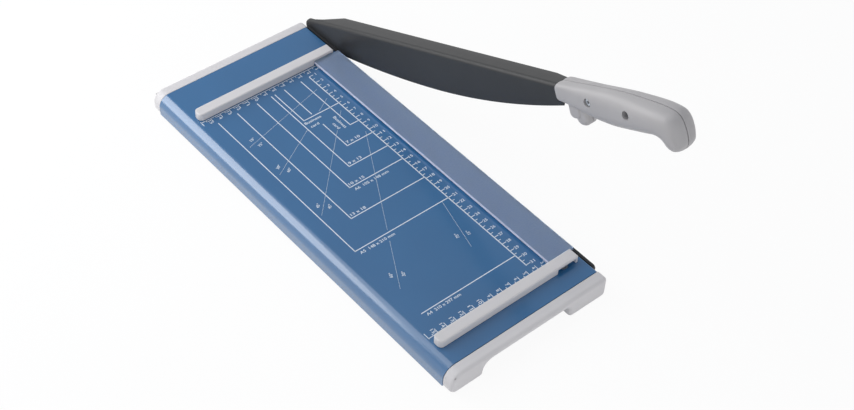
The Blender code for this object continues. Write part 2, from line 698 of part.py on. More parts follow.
def round_outer_face(item, way):
    """Bevel only the edges round the face that looks along -Y or +Y, by their bevel weight."""
    mesh = item.data
    face_y = max(way * vertex.co.y for vertex in mesh.vertices)
    weight = mesh.attributes.new("bevel_weight_edge", "FLOAT", "EDGE")
    for edge in mesh.edges:
        ends = [way * mesh.vertices[index].co.y for index in edge.vertices]
        on_face = min(ends) > face_y - OVERRUN
        borders = sum(1 for polygon in mesh.polygons if set(edge.vertices) <= set(polygon.vertices)
                      and abs(polygon.normal.y) < 0.5)
        weight.data[edge.index].value = 1.0 if on_face and borders == 1 else 0.0
    modifier = item.modifiers.new("Rounded outer edges", "BEVEL")
    modifier.width = CAP_EDGE
    modifier.segments = 2
    modifier.limit_method = "WEIGHT"


def make_end_cap(side, way):
    """Build the cap for the front (way -1) or the rear (way +1) end of the table."""
    table_end = sheet_front if way < 0 else sheet_rear

    def span(near, far):
        """Two places at these distances outward from the table's end, the lower one first."""
        return sorted((table_end + way * near, table_end + way * far))

    name = f"{side}_end_cap"
    inner = CLEARANCE
    outer = CAP_LENGTH
    cap = prism(name, cap_outline(0.0), "XZ", *span(inner, outer), "grey_plastic")
    round_outer_face(cap, way)
    pocket = prism(f"{name}_hollow", cap_outline(CAP_WALL), "XZ",
                   *span(inner - OVERRUN, outer - CAP_WALL))
    cut(cap, pocket)

    # The tongue follows the inside of the sheet, and stops beside the rail.
    gap = SHEET + CLEARANCE
    left = -TABLE_WIDTH + gap
    top = TABLE_HEIGHT - gap
    right = rail_left - CLEARANCE
    low = CAP_LIFT + LEFT_FOOT_HEIGHT - CAP_WALL
    radius = ROLL_RADIUS - gap
    wall = CAP_TONGUE_WALL
    tongue = [
        (left, low, 0.0),
        (left + wall, low, 0.0),
        (left + wall, top - wall, radius - wall),
        (right, top - wall, 0.0),
        (right, top, 0.0),
        (left, top, radius),
    ]
    join(cap, prism(f"{name}_tongue", tongue, "XZ", *span(-CAP_TONGUE, outer - CAP_WALL / 2.0)))

    # Foot blocks, under the table at both sides of the arch.
    foot_span = span(outer - FOOT_LENGTH, outer - CAP_WALL / 2.0)
    foot_top = min(rail_bottom, TABLE_HEIGHT - KNIFE_HEIGHT) - CLEARANCE
    inset = CAP_WALL / 2.0
    left_foot = rectangle(left, left + LEFT_FOOT_WIDTH, CAP_LIFT, CAP_LIFT + LEFT_FOOT_HEIGHT)
    right_foot = rectangle(-ARCH_RIGHT + inset, -CAP_RIGHT_INSET - inset, CAP_LIFT + OVERRUN / 2.0,
                           foot_top)
    left_foot = [(x, z, FOOT_RADIUS if z < LEFT_WALL_LIFT else 0.0) for x, z, radius in left_foot]
    join(cap, prism(f"{name}_left_foot", left_foot, "XZ", *foot_span))
    join(cap, prism(f"{name}_right_foot", right_foot, "XZ", *foot_span))

    pad_y = table_end + way * (outer - PAD_BACK)
    recess_top = PAD_HEIGHT + CLEARANCE
    for hand, x in (("left", -TABLE_WIDTH + PAD_INSET), ("right", -CAP_RIGHT_INSET - PAD_INSET)):
        place = (x, pad_y, 0.0)
        cut(cap, rod(f"{name}_{hand}_recess", PAD_RADIUS + CLEARANCE, 0.0, recess_top, place, steps=24))
        profile = [
            (0.0, PAD_HEIGHT),
            (PAD_RADIUS, PAD_HEIGHT),
            (PAD_RADIUS, PAD_EDGE),
            (PAD_RADIUS - PAD_EDGE, 0.0),
            (0.0, 0.0),
        ]
        turned(f"rubber_foot_{side}_{hand}", profile, place, "+Z", "black_rubber", steps=24)

    # One screw from below holds the right foot to the rail.
    rail_end = rail_front if way < 0 else rail_rear
    seat = CAP_LIFT + CAP_SCREW_HEAD_HEIGHT + CLEARANCE
    place = ((rail_left + rail_right) / 2.0, rail_end - way * CAP_SCREW_BACK, seat)
    radius = CAP_SCREW_HEAD + CLEARANCE
    cut(cap, rod(f"{name}_screw_recess", radius, -seat, CLEARANCE, place))
    radius = CAP_SCREW_SHANK + CLEARANCE
    cut(cap, rod(f"{name}_screw_hole", radius, -OVERRUN, foot_top - seat + OVERRUN, place))
    screw(f"cap_screw_{side}", place, "-Z", CAP_SCREW_HEAD, CAP_SCREW_HEAD_HEIGHT, CAP_SCREW_SHANK,
          rail_bottom - seat + CAP_SCREW_GRIP)


# Fences, with what lies under them: two screws, the guide pin's cup and the guard's spring.

def make_fence(side, front, rear):
    name = f"{side}_fence"
    middle = (front + rear) / 2.0
    base = TABLE_HEIGHT + CLEARANCE
    top = TABLE_HEIGHT + FENCE_HEIGHT
    outline = [
        (-FENCE_LEFT, front, FENCE_END_RADIUS),
        (-FENCE_RIGHT, front, 0.0),
        (-FENCE_RIGHT, rear, 0.0),
        (-FENCE_LEFT, rear, FENCE_END_RADIUS),
    ]
    fence = prism(name, outline, "XY", base, top, "grey_plastic", bevel=FENCE_EDGE)
    notch_low = base - OVERRUN
    notch_top = TABLE_HEIGHT + NOTCH_HEIGHT
    cut(fence, box(f"{name}_notch", (-NOTCH_LEFT, front - OVERRUN, notch_low),
                   (-NOTCH_RIGHT, rear + OVERRUN, notch_top)))

    tip = top - FENCE_SCREW_COVER
    seat = sheet_underside - CLEARANCE
    for number, left in enumerate(FENCE_SCREWS, 1):
        place = (-left, middle, seat)
        radius = FENCE_SCREW_SHANK + CLEARANCE
        cut(fence, rod(f"{name}_hole_{number}", radius, 0.0, tip - seat + CLEARANCE, place))
        screw(f"fence_screw_{side}_{number}", place, "-Z", FENCE_SCREW_HEAD, FENCE_SCREW_HEAD_HEIGHT,
              FENCE_SCREW_SHANK, tip - seat)

    place = (-FENCE_RIGHT, front + PIN_SETBACK, TABLE_HEIGHT + PIN_RISE)
    sunk = PIN_PROUD - PIN_LENGTH
    cut(fence, rod(f"{name}_pin_hole", PIN_RADIUS + CLEARANCE, sunk - OVERRUN, OVERRUN, place, "+X"))
    rod(f"fence_pin_{side}", PIN_RADIUS, sunk, PIN_PROUD, place, "+X", "black_plastic")

    place = (-GUIDE_LEFT, middle, seat)
    guide_top = top - GUIDE_COVER - CLEARANCE
    radius = GUIDE_RADIUS + CLEARANCE
    cut(fence, rod(f"{name}_guide_hole", radius, 0.0, top - GUIDE_COVER - seat, place))
    profile = [
        (0.0, guide_top - seat),
        (GUIDE_RADIUS, guide_top - seat),
        (GUIDE_RADIUS, -CUP_DEPTH),
        (CUP_BORE, -CUP_DEPTH),
        (CUP_BORE, 0.0),
        (CUP_FLANGE_RADIUS, 0.0),
        (CUP_FLANGE_RADIUS, -CUP_FLANGE),
        (CUP_RADIUS, -CUP_FLANGE),
        (CUP_RADIUS, -CUP_DEPTH - CUP_FLOOR),
        (0.0, -CUP_DEPTH - CUP_FLOOR),
    ]
    turned(f"spring_cup_{side}", profile, place, "+Z", "grey_plastic")
    floor = seat - CUP_DEPTH + CLEARANCE
    make_spring(f"guard_spring_{side}", (-GUIDE_LEFT, middle), floor,
                TABLE_HEIGHT + GUARD_LIFT - CLEARANCE)


def make_spring(name, middle, low, high):
    """One unbroken wire, with its first and last half turn flat."""
    count = SPRING_TURNS * SPRING_POINTS
    rise = high - low - 2.0 * SPRING_WIRE
    curve = bpy.data.curves.new(name, "CURVE")
    curve.dimensions = "3D"
    curve.bevel_depth = SPRING_WIRE
    curve.bevel_resolution = 1
    curve.use_fill_caps = True
    spline = curve.splines.new("POLY")
    spline.points.add(count)
    flat = 0.5 / SPRING_TURNS
    shares = np.linspace(0.0, 1.0, count + 1)
    climb = np.clip((shares - flat) / (1.0 - 2.0 * flat), 0.0, 1.0)
    angles = 2.0 * math.pi * SPRING_TURNS * shares
    points = np.column_stack((
        middle[0] + SPRING_RADIUS * np.cos(angles),
        middle[1] + SPRING_RADIUS * np.sin(angles),
        low + SPRING_WIRE + rise * climb,
    ))
    for point, place in zip(spline.points, points):
        point.co = (*place, 1.0)
    apart = np.linalg.norm(points[:, None] - points[None], axis=2)
    turns_off = np.abs(np.subtract.outer(shares, shares)) * SPRING_TURNS
    gap = apart[turns_off > 0.5].min() - 2.0 * SPRING_WIRE
    print(f"{name}: least gap between turns {gap / MM:.2f} mm")
    item = bpy.data.objects.new(name, curve)
    bpy.context.scene.collection.objects.link(item)
    centred(name, curve_mesh(item), "bright_steel", cutter_root)


def make_guard():
    """Clear strip between the fences, with a tongue under each one's notch."""
    low = TABLE_HEIGHT + GUARD_LIFT
    high = low + GUARD_THICKNESS
    front = front_fence_y[1] + CLEARANCE
    rear = rear_fence_y[0] - CLEARANCE
    tongue_front = front_fence_y[1] - TONGUE_LENGTH
    tongue_rear = rear_fence_y[0] + TONGUE_LENGTH
    left = -NOTCH_LEFT + CLEARANCE
    tongue_right = -NOTCH_RIGHT - CLEARANCE
    outline = [
        (left, tongue_front, OVERRUN),
        (tongue_right, tongue_front, OVERRUN),
        (tongue_right, front, 0.0),
        (-GUARD_RIGHT, front, OVERRUN),
        (-GUARD_RIGHT, rear, OVERRUN),
        (tongue_right, rear, 0.0),
        (tongue_right, tongue_rear, OVERRUN),
        (left, tongue_rear, OVERRUN),
    ]
    guard = prism("press_guard", outline, "XY", low, high, "clear_plastic", bevel=GUARD_EDGE)
    for side, (near, far) in (("front", front_fence_y), ("rear", rear_fence_y)):
        place = (-GUIDE_LEFT, (near + far) / 2.0, 0.0)
        radius = GUIDE_RADIUS + CLEARANCE
        cut(guard, rod(f"guard_hole_{side}", radius, low - OVERRUN, high + OVERRUN, place))


# Pivot bolt: its shoulder carries the arm, and its nut pulls it against the bed knife.

def make_pivot():
    place = (0.0, PIVOT_BACK, pivot_z)
    wave_seat = web_outer + CLEARANCE
    head_seat = wave_seat + WAVE_WASHER + CLEARANCE
    washer_seat = rail_left - CLEARANCE
    nut_seat = washer_seat - WASHER - CLEARANCE
    tip = nut_seat - NUT_HEIGHT - BOLT_PAST_NUT
    dome = [
        (BOLT_HEAD_RADIUS * math.sin(angle), head_seat + BOLT_HEAD_HEIGHT * (1.0 + math.cos(angle)) / 2.0)
        for angle in np.radians(np.linspace(0.0, 90.0, DOME_RINGS))
    ]
    dome[0] = (0.0, dome[0][1])
    profile = dome + [
        (BOLT_HEAD_RADIUS, head_seat),
        (SHOULDER_RADIUS, head_seat),
        (SHOULDER_RADIUS, CLEARANCE),
        (SHANK_RADIUS, CLEARANCE),
        (SHANK_RADIUS, tip),
        (0.0, tip),
    ]
    turned("pivot_bolt", profile, place, "+X", "bright_steel", steps=24)
    ring("pivot_wave_washer", SHOULDER_RADIUS + CLEARANCE, WASHER_RADIUS, wave_seat,
         wave_seat + WAVE_WASHER, place)
    ring("pivot_washer", SHANK_RADIUS + CLEARANCE, WASHER_RADIUS, washer_seat - WASHER, washer_seat, place)
    corners = arc((PIVOT_BACK, pivot_z), NUT_RADIUS / math.cos(math.pi / 6.0), 0.0, 300.0, 5)
    nut = prism("pivot_nut", sharp(corners), "YZ", nut_seat - NUT_HEIGHT, nut_seat, "bright_steel")
    cut(nut, rod("nut_hole", SHANK_RADIUS + CLEARANCE, nut_seat - NUT_HEIGHT - OVERRUN,
                 nut_seat + OVERRUN, place, "+X"))


def ring(name, inner, outer, low, high, place):
    """A flat ring across the pivot's axis."""
    profile = [(inner, high), (outer, high), (outer, low), (inner, low)]
    return turned(name, profile, place, "+X", "bright_steel")


# Blade arm.  In its outlines the first number runs forward from the pivot bolt, and the second one
# up from it square to the ridge.

def belly(forward):
    """Height of the cutting edge, which is two long arcs that meet at the belly's deepest point."""
    past = forward - BELLY_REACH
    radius = BELLY_FRONT_RADIUS if past > 0.0 else BELLY_REAR_RADIUS
    return RIDGE_RISE - BELLY_DEPTH + past * past / (2.0 * radius)


def arm_side():
    """Outline of the arm seen from its side, with the heel, the lobe, the belly and the tang."""
    full_end = BLADE_LENGTH + BLADE_IN_HANDLE
    heel = Vector((-HEEL_BACK, RIDGE_RISE - HEEL_RADIUS))
    apart = heel.length
    lean = math.degrees(math.atan2(heel.y, heel.x))
    tangent = math.degrees(math.acos((HEEL_RADIUS - LOBE_RADIUS) / apart))
    side_angle = lean + tangent
    lobe_end = math.degrees(math.atan2(belly(BELLY_START), BELLY_START)) + 360.0
    points = arc(heel, HEEL_RADIUS, 90.0, side_angle, HEEL_STEPS)
    points += arc((0.0, 0.0), LOBE_RADIUS, side_angle, lobe_end - LOBE_STOP, LOBE_STEPS)
    for forward in np.linspace(BELLY_START + OVERRUN, full_end, BELLY_POINTS):
        points.append((forward, belly(forward)))
    tang_end = BLADE_LENGTH + TANG_LENGTH
    tang_top = RIDGE_RISE - TANG_TOP
    tang_low = tang_top - TANG_HEIGHT
    throat_low = RIDGE_RISE - TANG_THROAT + CLEARANCE
    step = BLADE_LENGTH + TANG_STEP
    corners = sharp(points) + [
        (full_end, throat_low, 0.0),
        (step, throat_low, 0.0),
        (step + TANG_STEP / 2.0, tang_low, 0.0),
        (tang_end, tang_low, TANG_HEIGHT / 2.0),
        (tang_end, tang_top, TANG_HEIGHT / 2.0),
        (full_end, tang_top, 0.0),
        (full_end, RIDGE_RISE + OVERRUN, 0.0),
        (-HEEL_BACK, RIDGE_RISE + OVERRUN, 0.0),
    ]
    return corners


def make_blade_arm():
    """An angle section as long as the arm, trimmed to its side outline, then its flange tapered."""
    far = BLADE_GAP + FLANGE_WIDTH
    deepest = RIDGE_RISE - BELLY_DEPTH - OVERRUN
    underside = RIDGE_RISE - ARM_STEEL
    section = [
        (BLADE_GAP, RIDGE_RISE, FOLD_RADIUS),
        (far, RIDGE_RISE, 0.0),
        (far, underside, 0.0),
        (web_outer, underside, FOLD_INNER),
        (web_outer, deepest, 0.0),
        (BLADE_GAP, deepest, 0.0),
    ]
    rear = HEEL_BACK + HEEL_RADIUS + OVERRUN
    front = BLADE_LENGTH + TANG_LENGTH + OVERRUN
    arm = prism("blade_arm", section, "XZ", -front, rear, "black_steel", arm_pivot)
    side = prism("arm_side_outline", flipped(arm_side()), "YZ", -OVERRUN, far + OVERRUN, None, arm_pivot)
    keep(arm, side)

    # Plan of the flange's outer edge: it tapers to nothing at the heel and narrows at the handle.
    heel_x = web_outer + HEEL_FLANGE
    full_end = BLADE_LENGTH + BLADE_IN_HANDLE
    beyond = far + OVERRUN
    plan_low = underside - FOLD_INNER - OVERRUN
    plan_high = RIDGE_RISE + OVERRUN
    heel_plan = [
        (heel_x, rear, 0.0),
        (heel_x, FLANGE_START + OVERRUN, 0.0),
        (web_outer + FOLD_RADIUS, -FLANGE_START / 2.0, 0.0),
        (far, -FLANGE_FULL, OVERRUN),
        (beyond, -FLANGE_FULL - OVERRUN, 0.0),
        (beyond, rear, 0.0),
    ]
    taper_start = full_end - FLANGE_TAPER
    narrow = BLADE_GAP + FLANGE_FRONT_WIDTH
    front_plan = [
        (beyond, -taper_start + OVERRUN, 0.0),
        (far, -taper_start, 0.0),
        (narrow, -full_end, 0.0),
        (narrow, -front, 0.0),
        (beyond, -front, 0.0),
    ]
    cut(arm, prism("heel_flange_plan", heel_plan, "XY", plan_low, plan_high, None, arm_pivot))
    cut(arm, prism("front_flange_plan", front_plan, "XY", plan_low, plan_high, None, arm_pivot))

    cut(arm, grind_wedge())
    centre = (0.0, 0.0, 0.0)
    across = (BLADE_GAP - OVERRUN, web_outer + OVERRUN)
    radius = SHOULDER_RADIUS + CLEARANCE
    cut(arm, rod("arm_bolt_hole", radius, *across, centre, "+X", None, arm_pivot, 24))
    for number, (forward, rise) in enumerate(handle_screw_places(), 1):
        place = (0.0, -forward, rise)
        radius = HANDLE_BOSS + CLEARANCE
        cut(arm, rod(f"tang_hole_{number}", radius, *across, place, "+X", None, arm_pivot))


def grind_wedge():
    """What the grinding wheel takes off the outer side, along the cutting edge."""
    slope = (ARM_STEEL - GRIND_LAND) / GRIND_HEIGHT
    stations = np.linspace(GRIND_START, BLADE_LENGTH + BLADE_IN_HANDLE + OVERRUN, BELLY_POINTS)
    sections = []
    for forward in stations:
        fade = max(0.0, 1.0 - (forward - GRIND_START) / GRIND_RUNOUT)
        shift = fade * (ARM_STEEL - GRIND_LAND + CLEARANCE)
        edge = belly(forward)
        low = edge - OVERRUN
        high = edge + GRIND_HEIGHT + OVERRUN
        left = BLADE_GAP + GRIND_LAND + shift
        beyond = web_outer + ARM_STEEL
        sections.append([
            (left - OVERRUN * slope, -forward, low),
            (left + (GRIND_HEIGHT + OVERRUN) * slope, -forward, high),
            (beyond + shift, -forward, high),
            (beyond + shift, -forward, low),
        ])
    return loft("grind_wedge", sections, None, arm_pivot)


# Handle.  Both halves are cut from the same lofted body, and clasp the arm's tang between them.

def handle_point(along, rise):
    """A place on the handle given in shares, as forward and up from the pivot bolt."""
    return BLADE_LENGTH + along * HANDLE_LENGTH, RIDGE_RISE + rise * HANDLE_DEPTH


def handle_screw_places():
    return [handle_point(along, rise) for along, rise in HANDLE_SCREW_SHARES]


def handle_section(top_along, top_rise, low_along, low_rise, width, squareness):
    """One superellipse that stands on the line from its bottom to its top point."""
    top = Vector(handle_point(top_along, top_rise))
    low = Vector(handle_point(low_along, low_rise))
    middle = (top + low) / 2.0
    up = (top - low) / 2.0
    half = width * HANDLE_WIDTH / 2.0
    points = []
    for index in range(SECTION_POINTS):
        angle = 2.0 * math.pi * (index + 0.5) / SECTION_POINTS
        side = math.copysign(abs(math.cos(angle)) ** (2.0 / squareness), math.cos(angle))
        rise = math.copysign(abs(math.sin(angle)) ** (2.0 / squareness), math.sin(angle))
        place = middle + up * rise
        points.append((HANDLE_SEAM + half * side, -place.x, place.y))
    return points


def nub_lobe(name, lobe):
    front, back = (BLADE_LENGTH + share * HANDLE_LENGTH for share in lobe["along"])
    left, right = (share * HANDLE_WIDTH for share in lobe["across"])
    low = RIDGE_RISE - lobe["depth"] * HANDLE_DEPTH
    top = RIDGE_RISE - NUB_ROOT
    outline = [(front, low, NUB_RADIUS), (back, low, NUB_RADIUS), (back, top, 0.0), (front, top, 0.0)]
    return prism(name, flipped(outline), "YZ", left, right, None, arm_pivot, NUB_EDGE)


def tang_room(start, inset):
    """Outline of the room for the tang, from its start along the arm, drawn in by the inset."""
    end = BLADE_LENGTH + TANG_LENGTH + CLEARANCE - inset
    top = RIDGE_RISE - TANG_TOP + CLEARANCE - inset
    low = RIDGE_RISE - TANG_TOP - TANG_HEIGHT - CLEARANCE + inset
    throat = RIDGE_RISE - TANG_THROAT + inset
    step = BLADE_LENGTH + TANG_STEP
    return [
        (start, throat, 0.0),
        (step, throat, 0.0),
        (step + TANG_STEP / 2.0, low, 0.0),
        (end, low, TANG_HEIGHT / 2.0),
        (end, top, TANG_HEIGHT / 2.0),
        (start, top, 0.0),
    ]


def make_handle():
    """Both halves hold the tang: the left one in its slot, which a rib on the right one closes."""
    sections = [handle_section(*station) for station in HANDLE_STATION_SHARES]
    front = BLADE_LENGTH
    full_end = BLADE_LENGTH + BLADE_IN_HANDLE + CLEARANCE
    slot = tang_room(front - OVERRUN, 0.0)
    rib = tang_room(full_end - OVERRUN, RIB_GAP)
    half_gap = CLEARANCE / 2.0
    wide = HANDLE_WIDTH
    length = (-front - HANDLE_LENGTH - wide, wide - front)
    height = (RIDGE_RISE - wide - HANDLE_DEPTH, RIDGE_RISE + wide)
    slot_x = BLADE_GAP - CLEARANCE
    rib_x = web_outer + CLEARANCE
    widening = (FLANGE_WIDTH - FLANGE_FRONT_WIDTH) * BLADE_IN_HANDLE / FLANGE_TAPER
    flange_x = BLADE_GAP + FLANGE_FRONT_WIDTH + widening + CLEARANCE
    pocket_low = RIDGE_RISE - TANG_TOP - CLEARANCE

    for hand, (left, right) in (
        ("left", (HANDLE_SEAM - wide, HANDLE_SEAM - half_gap)),
        ("right", (HANDLE_SEAM + half_gap, HANDLE_SEAM + wide)),
    ):
        name = f"handle_{hand}"
        half = loft(name, sections, "grey_plastic", arm_pivot)
        for lobe_name, lobe in (("front", NUB_FRONT_LOBE_SHARES), ("main", NUB_MAIN_LOBE_SHARES)):
            join(half, nub_lobe(f"{name}_nub_{lobe_name}", lobe))
        keep(half, box(f"{name}_side", (left, length[0], height[0]), (right, length[1], height[1]),
                       None, arm_pivot))
        if hand == "left":
            cut(half, prism(f"{name}_slot", flipped(slot), "YZ", slot_x, HANDLE_SEAM + OVERRUN, None,
                            arm_pivot))
        else:
            join(half, prism(f"{name}_rib", flipped(rib), "YZ", rib_x, HANDLE_SEAM + OVERRUN, None,
                             arm_pivot))
        cut(half, box(f"{name}_flange_pocket", (slot_x, -full_end, pocket_low),
                      (flange_x, -front + OVERRUN, RIDGE_RISE + CLEARANCE), None, arm_pivot))
        if hand == "left":
            cut(half, box(f"{name}_web_pocket", (slot_x, -full_end, height[0]),
                          (rib_x, -front + OVERRUN, RIDGE_RISE), None, arm_pivot))
        for number, (forward, rise) in enumerate(handle_screw_places(), 1):
            place = (0.0, -forward, rise)
            if hand == "left":
                join(half, rod(f"{name}_boss_{number}", HANDLE_BOSS, slot_x - CLEARANCE,
                               HANDLE_SEAM - CLEARANCE, place, "+X", None, arm_pivot, BORE_STEPS))
                cut(half, rod(f"{name}_recess_{number}", HANDLE_BORE, -wide, HANDLE_BORE_FLOOR, place,
                              "+X", None, arm_pivot, BORE_STEPS))
                screw(f"handle_screw_{number}", (HANDLE_BORE_FLOOR - CLEARANCE, -forward, rise), "-X",
                      HANDLE_SCREW_HEAD, HANDLE_SCREW_HEAD_HEIGHT, HANDLE_SCREW_SHANK,
                      HANDLE_SCREW_LENGTH, parent=arm_pivot)
            else:
                cut(half, rod(f"{name}_clearance_{number}", HANDLE_BOSS + CLEARANCE, rib_x - OVERRUN,
                              HANDLE_SEAM + CLEARANCE, place, "+X", None, arm_pivot, BORE_STEPS))
            hole = HANDLE_SCREW_SHANK + CLEARANCE
            hole_end = HANDLE_BORE_FLOOR + HANDLE_SCREW_LENGTH
            cut(half, rod(f"{name}_screw_hole_{number}", hole, slot_x, hole_end, place, "+X", None,
                          arm_pivot, BORE_STEPS))
        # The lower left side stays clear of the table's edge when the arm is down.
        if hand == "left":
            cut(half, box(f"{name}_table_relief", (-wide, -front - RELIEF_LENGTH, height[0]),
                          (HANDLE_TABLE_GAP, wide - front, RIDGE_RISE - RELIEF_RISE), None, arm_pivot))


def shade_round():
    """Shade the parts smooth, with their real edges kept sharp."""
    for item in model.objects:
        if item.type == "MESH":
            item.data.shade_smooth()
            if item.data.polygons:
                item.data.set_sharp_from_angle(angle=SMOOTH)


def centre_on_desk():
    """Move the root empty so that the origin lies under the middle of the whole cutter."""
    bpy.context.view_layer.update()
    graph = bpy.context.evaluated_depsgraph_get()
    corners = []
    for item in model.objects:
        if item.type != "MESH":
            continue
        mesh = item.evaluated_get(graph).to_mesh()
        points = np.empty(len(mesh.vertices) * 3)
        mesh.vertices.foreach_get("co", points)
        world = np.array(item.matrix_world)
        points = points.reshape(-1, 3) @ world[:3, :3].T + world[:3, 3]
        corners += [points.min(axis=0), points.max(axis=0)]
        item.evaluated_get(graph).to_mesh_clear()
    low = np.min(corners, axis=0)
    high = np.max(corners, axis=0)
    middle = (low + high) / 2.0
    cutter_root.location = (-middle[0], -middle[1], -low[2])
    print("size in mm:", np.round((high - low) / MM, 2), "moved by:", np.round(-middle / MM, 2))


make_table_sheet()
make_knife_and_rail()
make_end_cap("front", -1)
make_end_cap("rear", 1)
make_fence("front", *front_fence_y)
make_fence("rear", *rear_fence_y)
make_guard()
make_pivot()
make_blade_arm()
make_handle()
shade_round()
centre_on_desk()
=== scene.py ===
"""Desk guillotine paper cutter: its look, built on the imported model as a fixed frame.

Shapes are worked out in millimetres.  X runs across the table with the cutting plane at 0, Y runs to
the rear with the rear fence's front face at 0, and Z is up from the desk.
"""

import json
import math

import bmesh
import bpy
import numpy as np
from mathutils import Matrix, Vector

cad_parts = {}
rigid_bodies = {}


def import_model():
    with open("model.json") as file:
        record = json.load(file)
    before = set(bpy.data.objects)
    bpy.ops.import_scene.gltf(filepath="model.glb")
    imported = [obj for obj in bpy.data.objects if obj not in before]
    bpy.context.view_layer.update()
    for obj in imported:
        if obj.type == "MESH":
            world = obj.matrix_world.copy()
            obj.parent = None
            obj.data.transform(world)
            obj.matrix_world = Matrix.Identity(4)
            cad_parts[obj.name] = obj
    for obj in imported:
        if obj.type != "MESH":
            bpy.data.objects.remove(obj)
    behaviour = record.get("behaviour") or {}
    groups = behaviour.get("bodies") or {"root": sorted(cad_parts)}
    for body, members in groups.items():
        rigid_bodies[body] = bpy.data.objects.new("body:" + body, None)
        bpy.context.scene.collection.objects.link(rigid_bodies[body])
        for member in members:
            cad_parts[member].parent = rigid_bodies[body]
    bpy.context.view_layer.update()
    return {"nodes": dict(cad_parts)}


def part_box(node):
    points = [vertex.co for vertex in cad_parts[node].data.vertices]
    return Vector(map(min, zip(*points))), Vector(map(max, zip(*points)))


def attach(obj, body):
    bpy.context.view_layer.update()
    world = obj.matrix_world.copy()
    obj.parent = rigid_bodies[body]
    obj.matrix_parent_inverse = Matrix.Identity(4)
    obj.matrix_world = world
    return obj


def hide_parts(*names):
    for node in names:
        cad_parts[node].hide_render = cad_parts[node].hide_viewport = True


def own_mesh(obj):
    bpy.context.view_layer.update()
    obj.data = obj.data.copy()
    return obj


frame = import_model()
nodes = frame["nodes"]
MM = 0.001
# The frame's place of X 0 and Y 0: the bed knife's right side and the rear fence's front face.
home = np.array((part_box("bed_knife")[1].x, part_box("rear_fence")[0].y, 0.0))

# The camera stands at the front left corner, well above the table, and looks down at the handle side.
# Its place was solved from the printed rulers, whose marks are a centimetre apart.
CAMERA_PLACE = Vector((-0.6202, -0.7210, 0.9829))
CAMERA_RIGHT = Vector((0.7639, -0.6441, 0.0392))
CAMERA_DOWN = Vector((-0.4420, -0.5667, -0.6953))
CAMERA_FORWARD = Vector((0.4701, 0.5139, -0.7176))

camera = bpy.data.objects.new("camera", bpy.data.cameras.new("camera"))
camera.data.lens = 65.27
camera.data.sensor_width = 36.0
camera.data.clip_end = 20.0
turned = Matrix((CAMERA_RIGHT, -CAMERA_DOWN, -CAMERA_FORWARD)).transposed()
camera.matrix_world = Matrix.Translation(CAMERA_PLACE) @ turned.to_quaternion().to_matrix().to_4x4()
bpy.context.scene.collection.objects.link(camera)
bpy.context.scene.camera = camera
bpy.context.scene.view_settings.view_transform = "Standard"


# The desk is a white sweep in a white room, which is bright round the horizon and dimmer overhead.  A
# large soft lamp at the rear left lights the table, one overhead fills in and one in front lifts the
# near faces.  The sweep shows white, with a faint shadow under the object.

def linear(code):
    """Turn an sRGB hex colour to linear RGB: divide by 12.92 when dark, else a power of 2.4."""
    shown = np.array([int(code[start:start + 2], 16) / 255.0 for start in (1, 3, 5)])
    return tuple(np.where(shown <= 0.04045, shown / 12.92, ((shown + 0.055) / 1.055) ** 2.4)) + (1.0,)


def plug(tree, node, values=(), links=()):
    """Set numbers and colours on a node's own sockets, and link what feeds the others."""
    for socket, value in dict(values).items():
        node.inputs[socket].default_value = value
    for socket, source in dict(links).items():
        tree.links.new(source, node.inputs[socket])
    return node


def add(tree, kind, settings=(), values=(), links=()):
    """Add one node, with its own options, the numbers on its sockets and what feeds its sockets."""
    node = tree.nodes.new("ShaderNode" + kind)
    for option, value in dict(settings).items():
        setattr(node, option, value)
    return plug(tree, node, values, links)


def seen_directly(tree):
    """One where a ray comes from the camera, from a gloss or through glass, else nought."""
    path = add(tree, "LightPath")
    either = add(tree, "Math", {"operation": "MAXIMUM"}, (),
                 {0: path.outputs["Is Camera Ray"], 1: path.outputs["Is Glossy Ray"]})
    return add(tree, "Math", {"operation": "MAXIMUM"}, (),
               {0: either.outputs[0], 1: path.outputs["Is Transmission Ray"]}).outputs[0]


# The room's light in linear RGB, and how far up its sphere each shade stands, as a share.
HORIZON_SHARE, HORIZON_LIGHT = 0.25, (1.0, 1.0, 1.0, 1.0)
OVERHEAD_SHARE, OVERHEAD_LIGHT = 0.62, (0.36, 0.38, 0.42, 1.0)
ROOM_LIGHT = 0.78
SWEEP_GLOW, SWEEP_REACH = 0.93, 9.0

room = bpy.data.worlds.new("white_room")
room.use_nodes = True
bpy.context.scene.world = room
tree = room.node_tree
tree.nodes.clear()
height = add(tree, "SeparateXYZ", (), (), {0: add(tree, "TexCoord").outputs["Generated"]})
dimmer = add(tree, "ValToRGB", (), (), {0: height.outputs["Z"]})
low_end, high_end = dimmer.color_ramp.elements
low_end.position, low_end.color = HORIZON_SHARE, HORIZON_LIGHT
high_end.position, high_end.color = OVERHEAD_SHARE, OVERHEAD_LIGHT
level = add(tree, "MapRange", (), {"To Min": ROOM_LIGHT, "To Max": 1.0}, {"Value": seen_directly(tree)})
light = add(tree, "Background", (), (), {"Color": dimmer.outputs[0], "Strength": level.outputs[0]})
add(tree, "OutputWorld", (), (), {"Surface": light.outputs[0]})

floor_paper = bpy.data.materials.new("white_sweep_paper")
floor_paper.use_nodes = True
tree = floor_paper.node_tree
tree.nodes.clear()
paper = add(tree, "BsdfDiffuse", (), {"Color": linear("#F6F6F7")})
glow = add(tree, "Emission", (), {"Color": (1.0, 1.0, 1.0, 1.0), "Strength": 1.0})
share = add(tree, "Math", {"operation": "MULTIPLY"}, {1: SWEEP_GLOW}, {0: seen_directly(tree)})
both = add(tree, "MixShader", (), (), {0: share.outputs[0], 1: paper.outputs[0], 2: glow.outputs[0]})
add(tree, "OutputMaterial", (), (), {"Surface": both.outputs[0]})

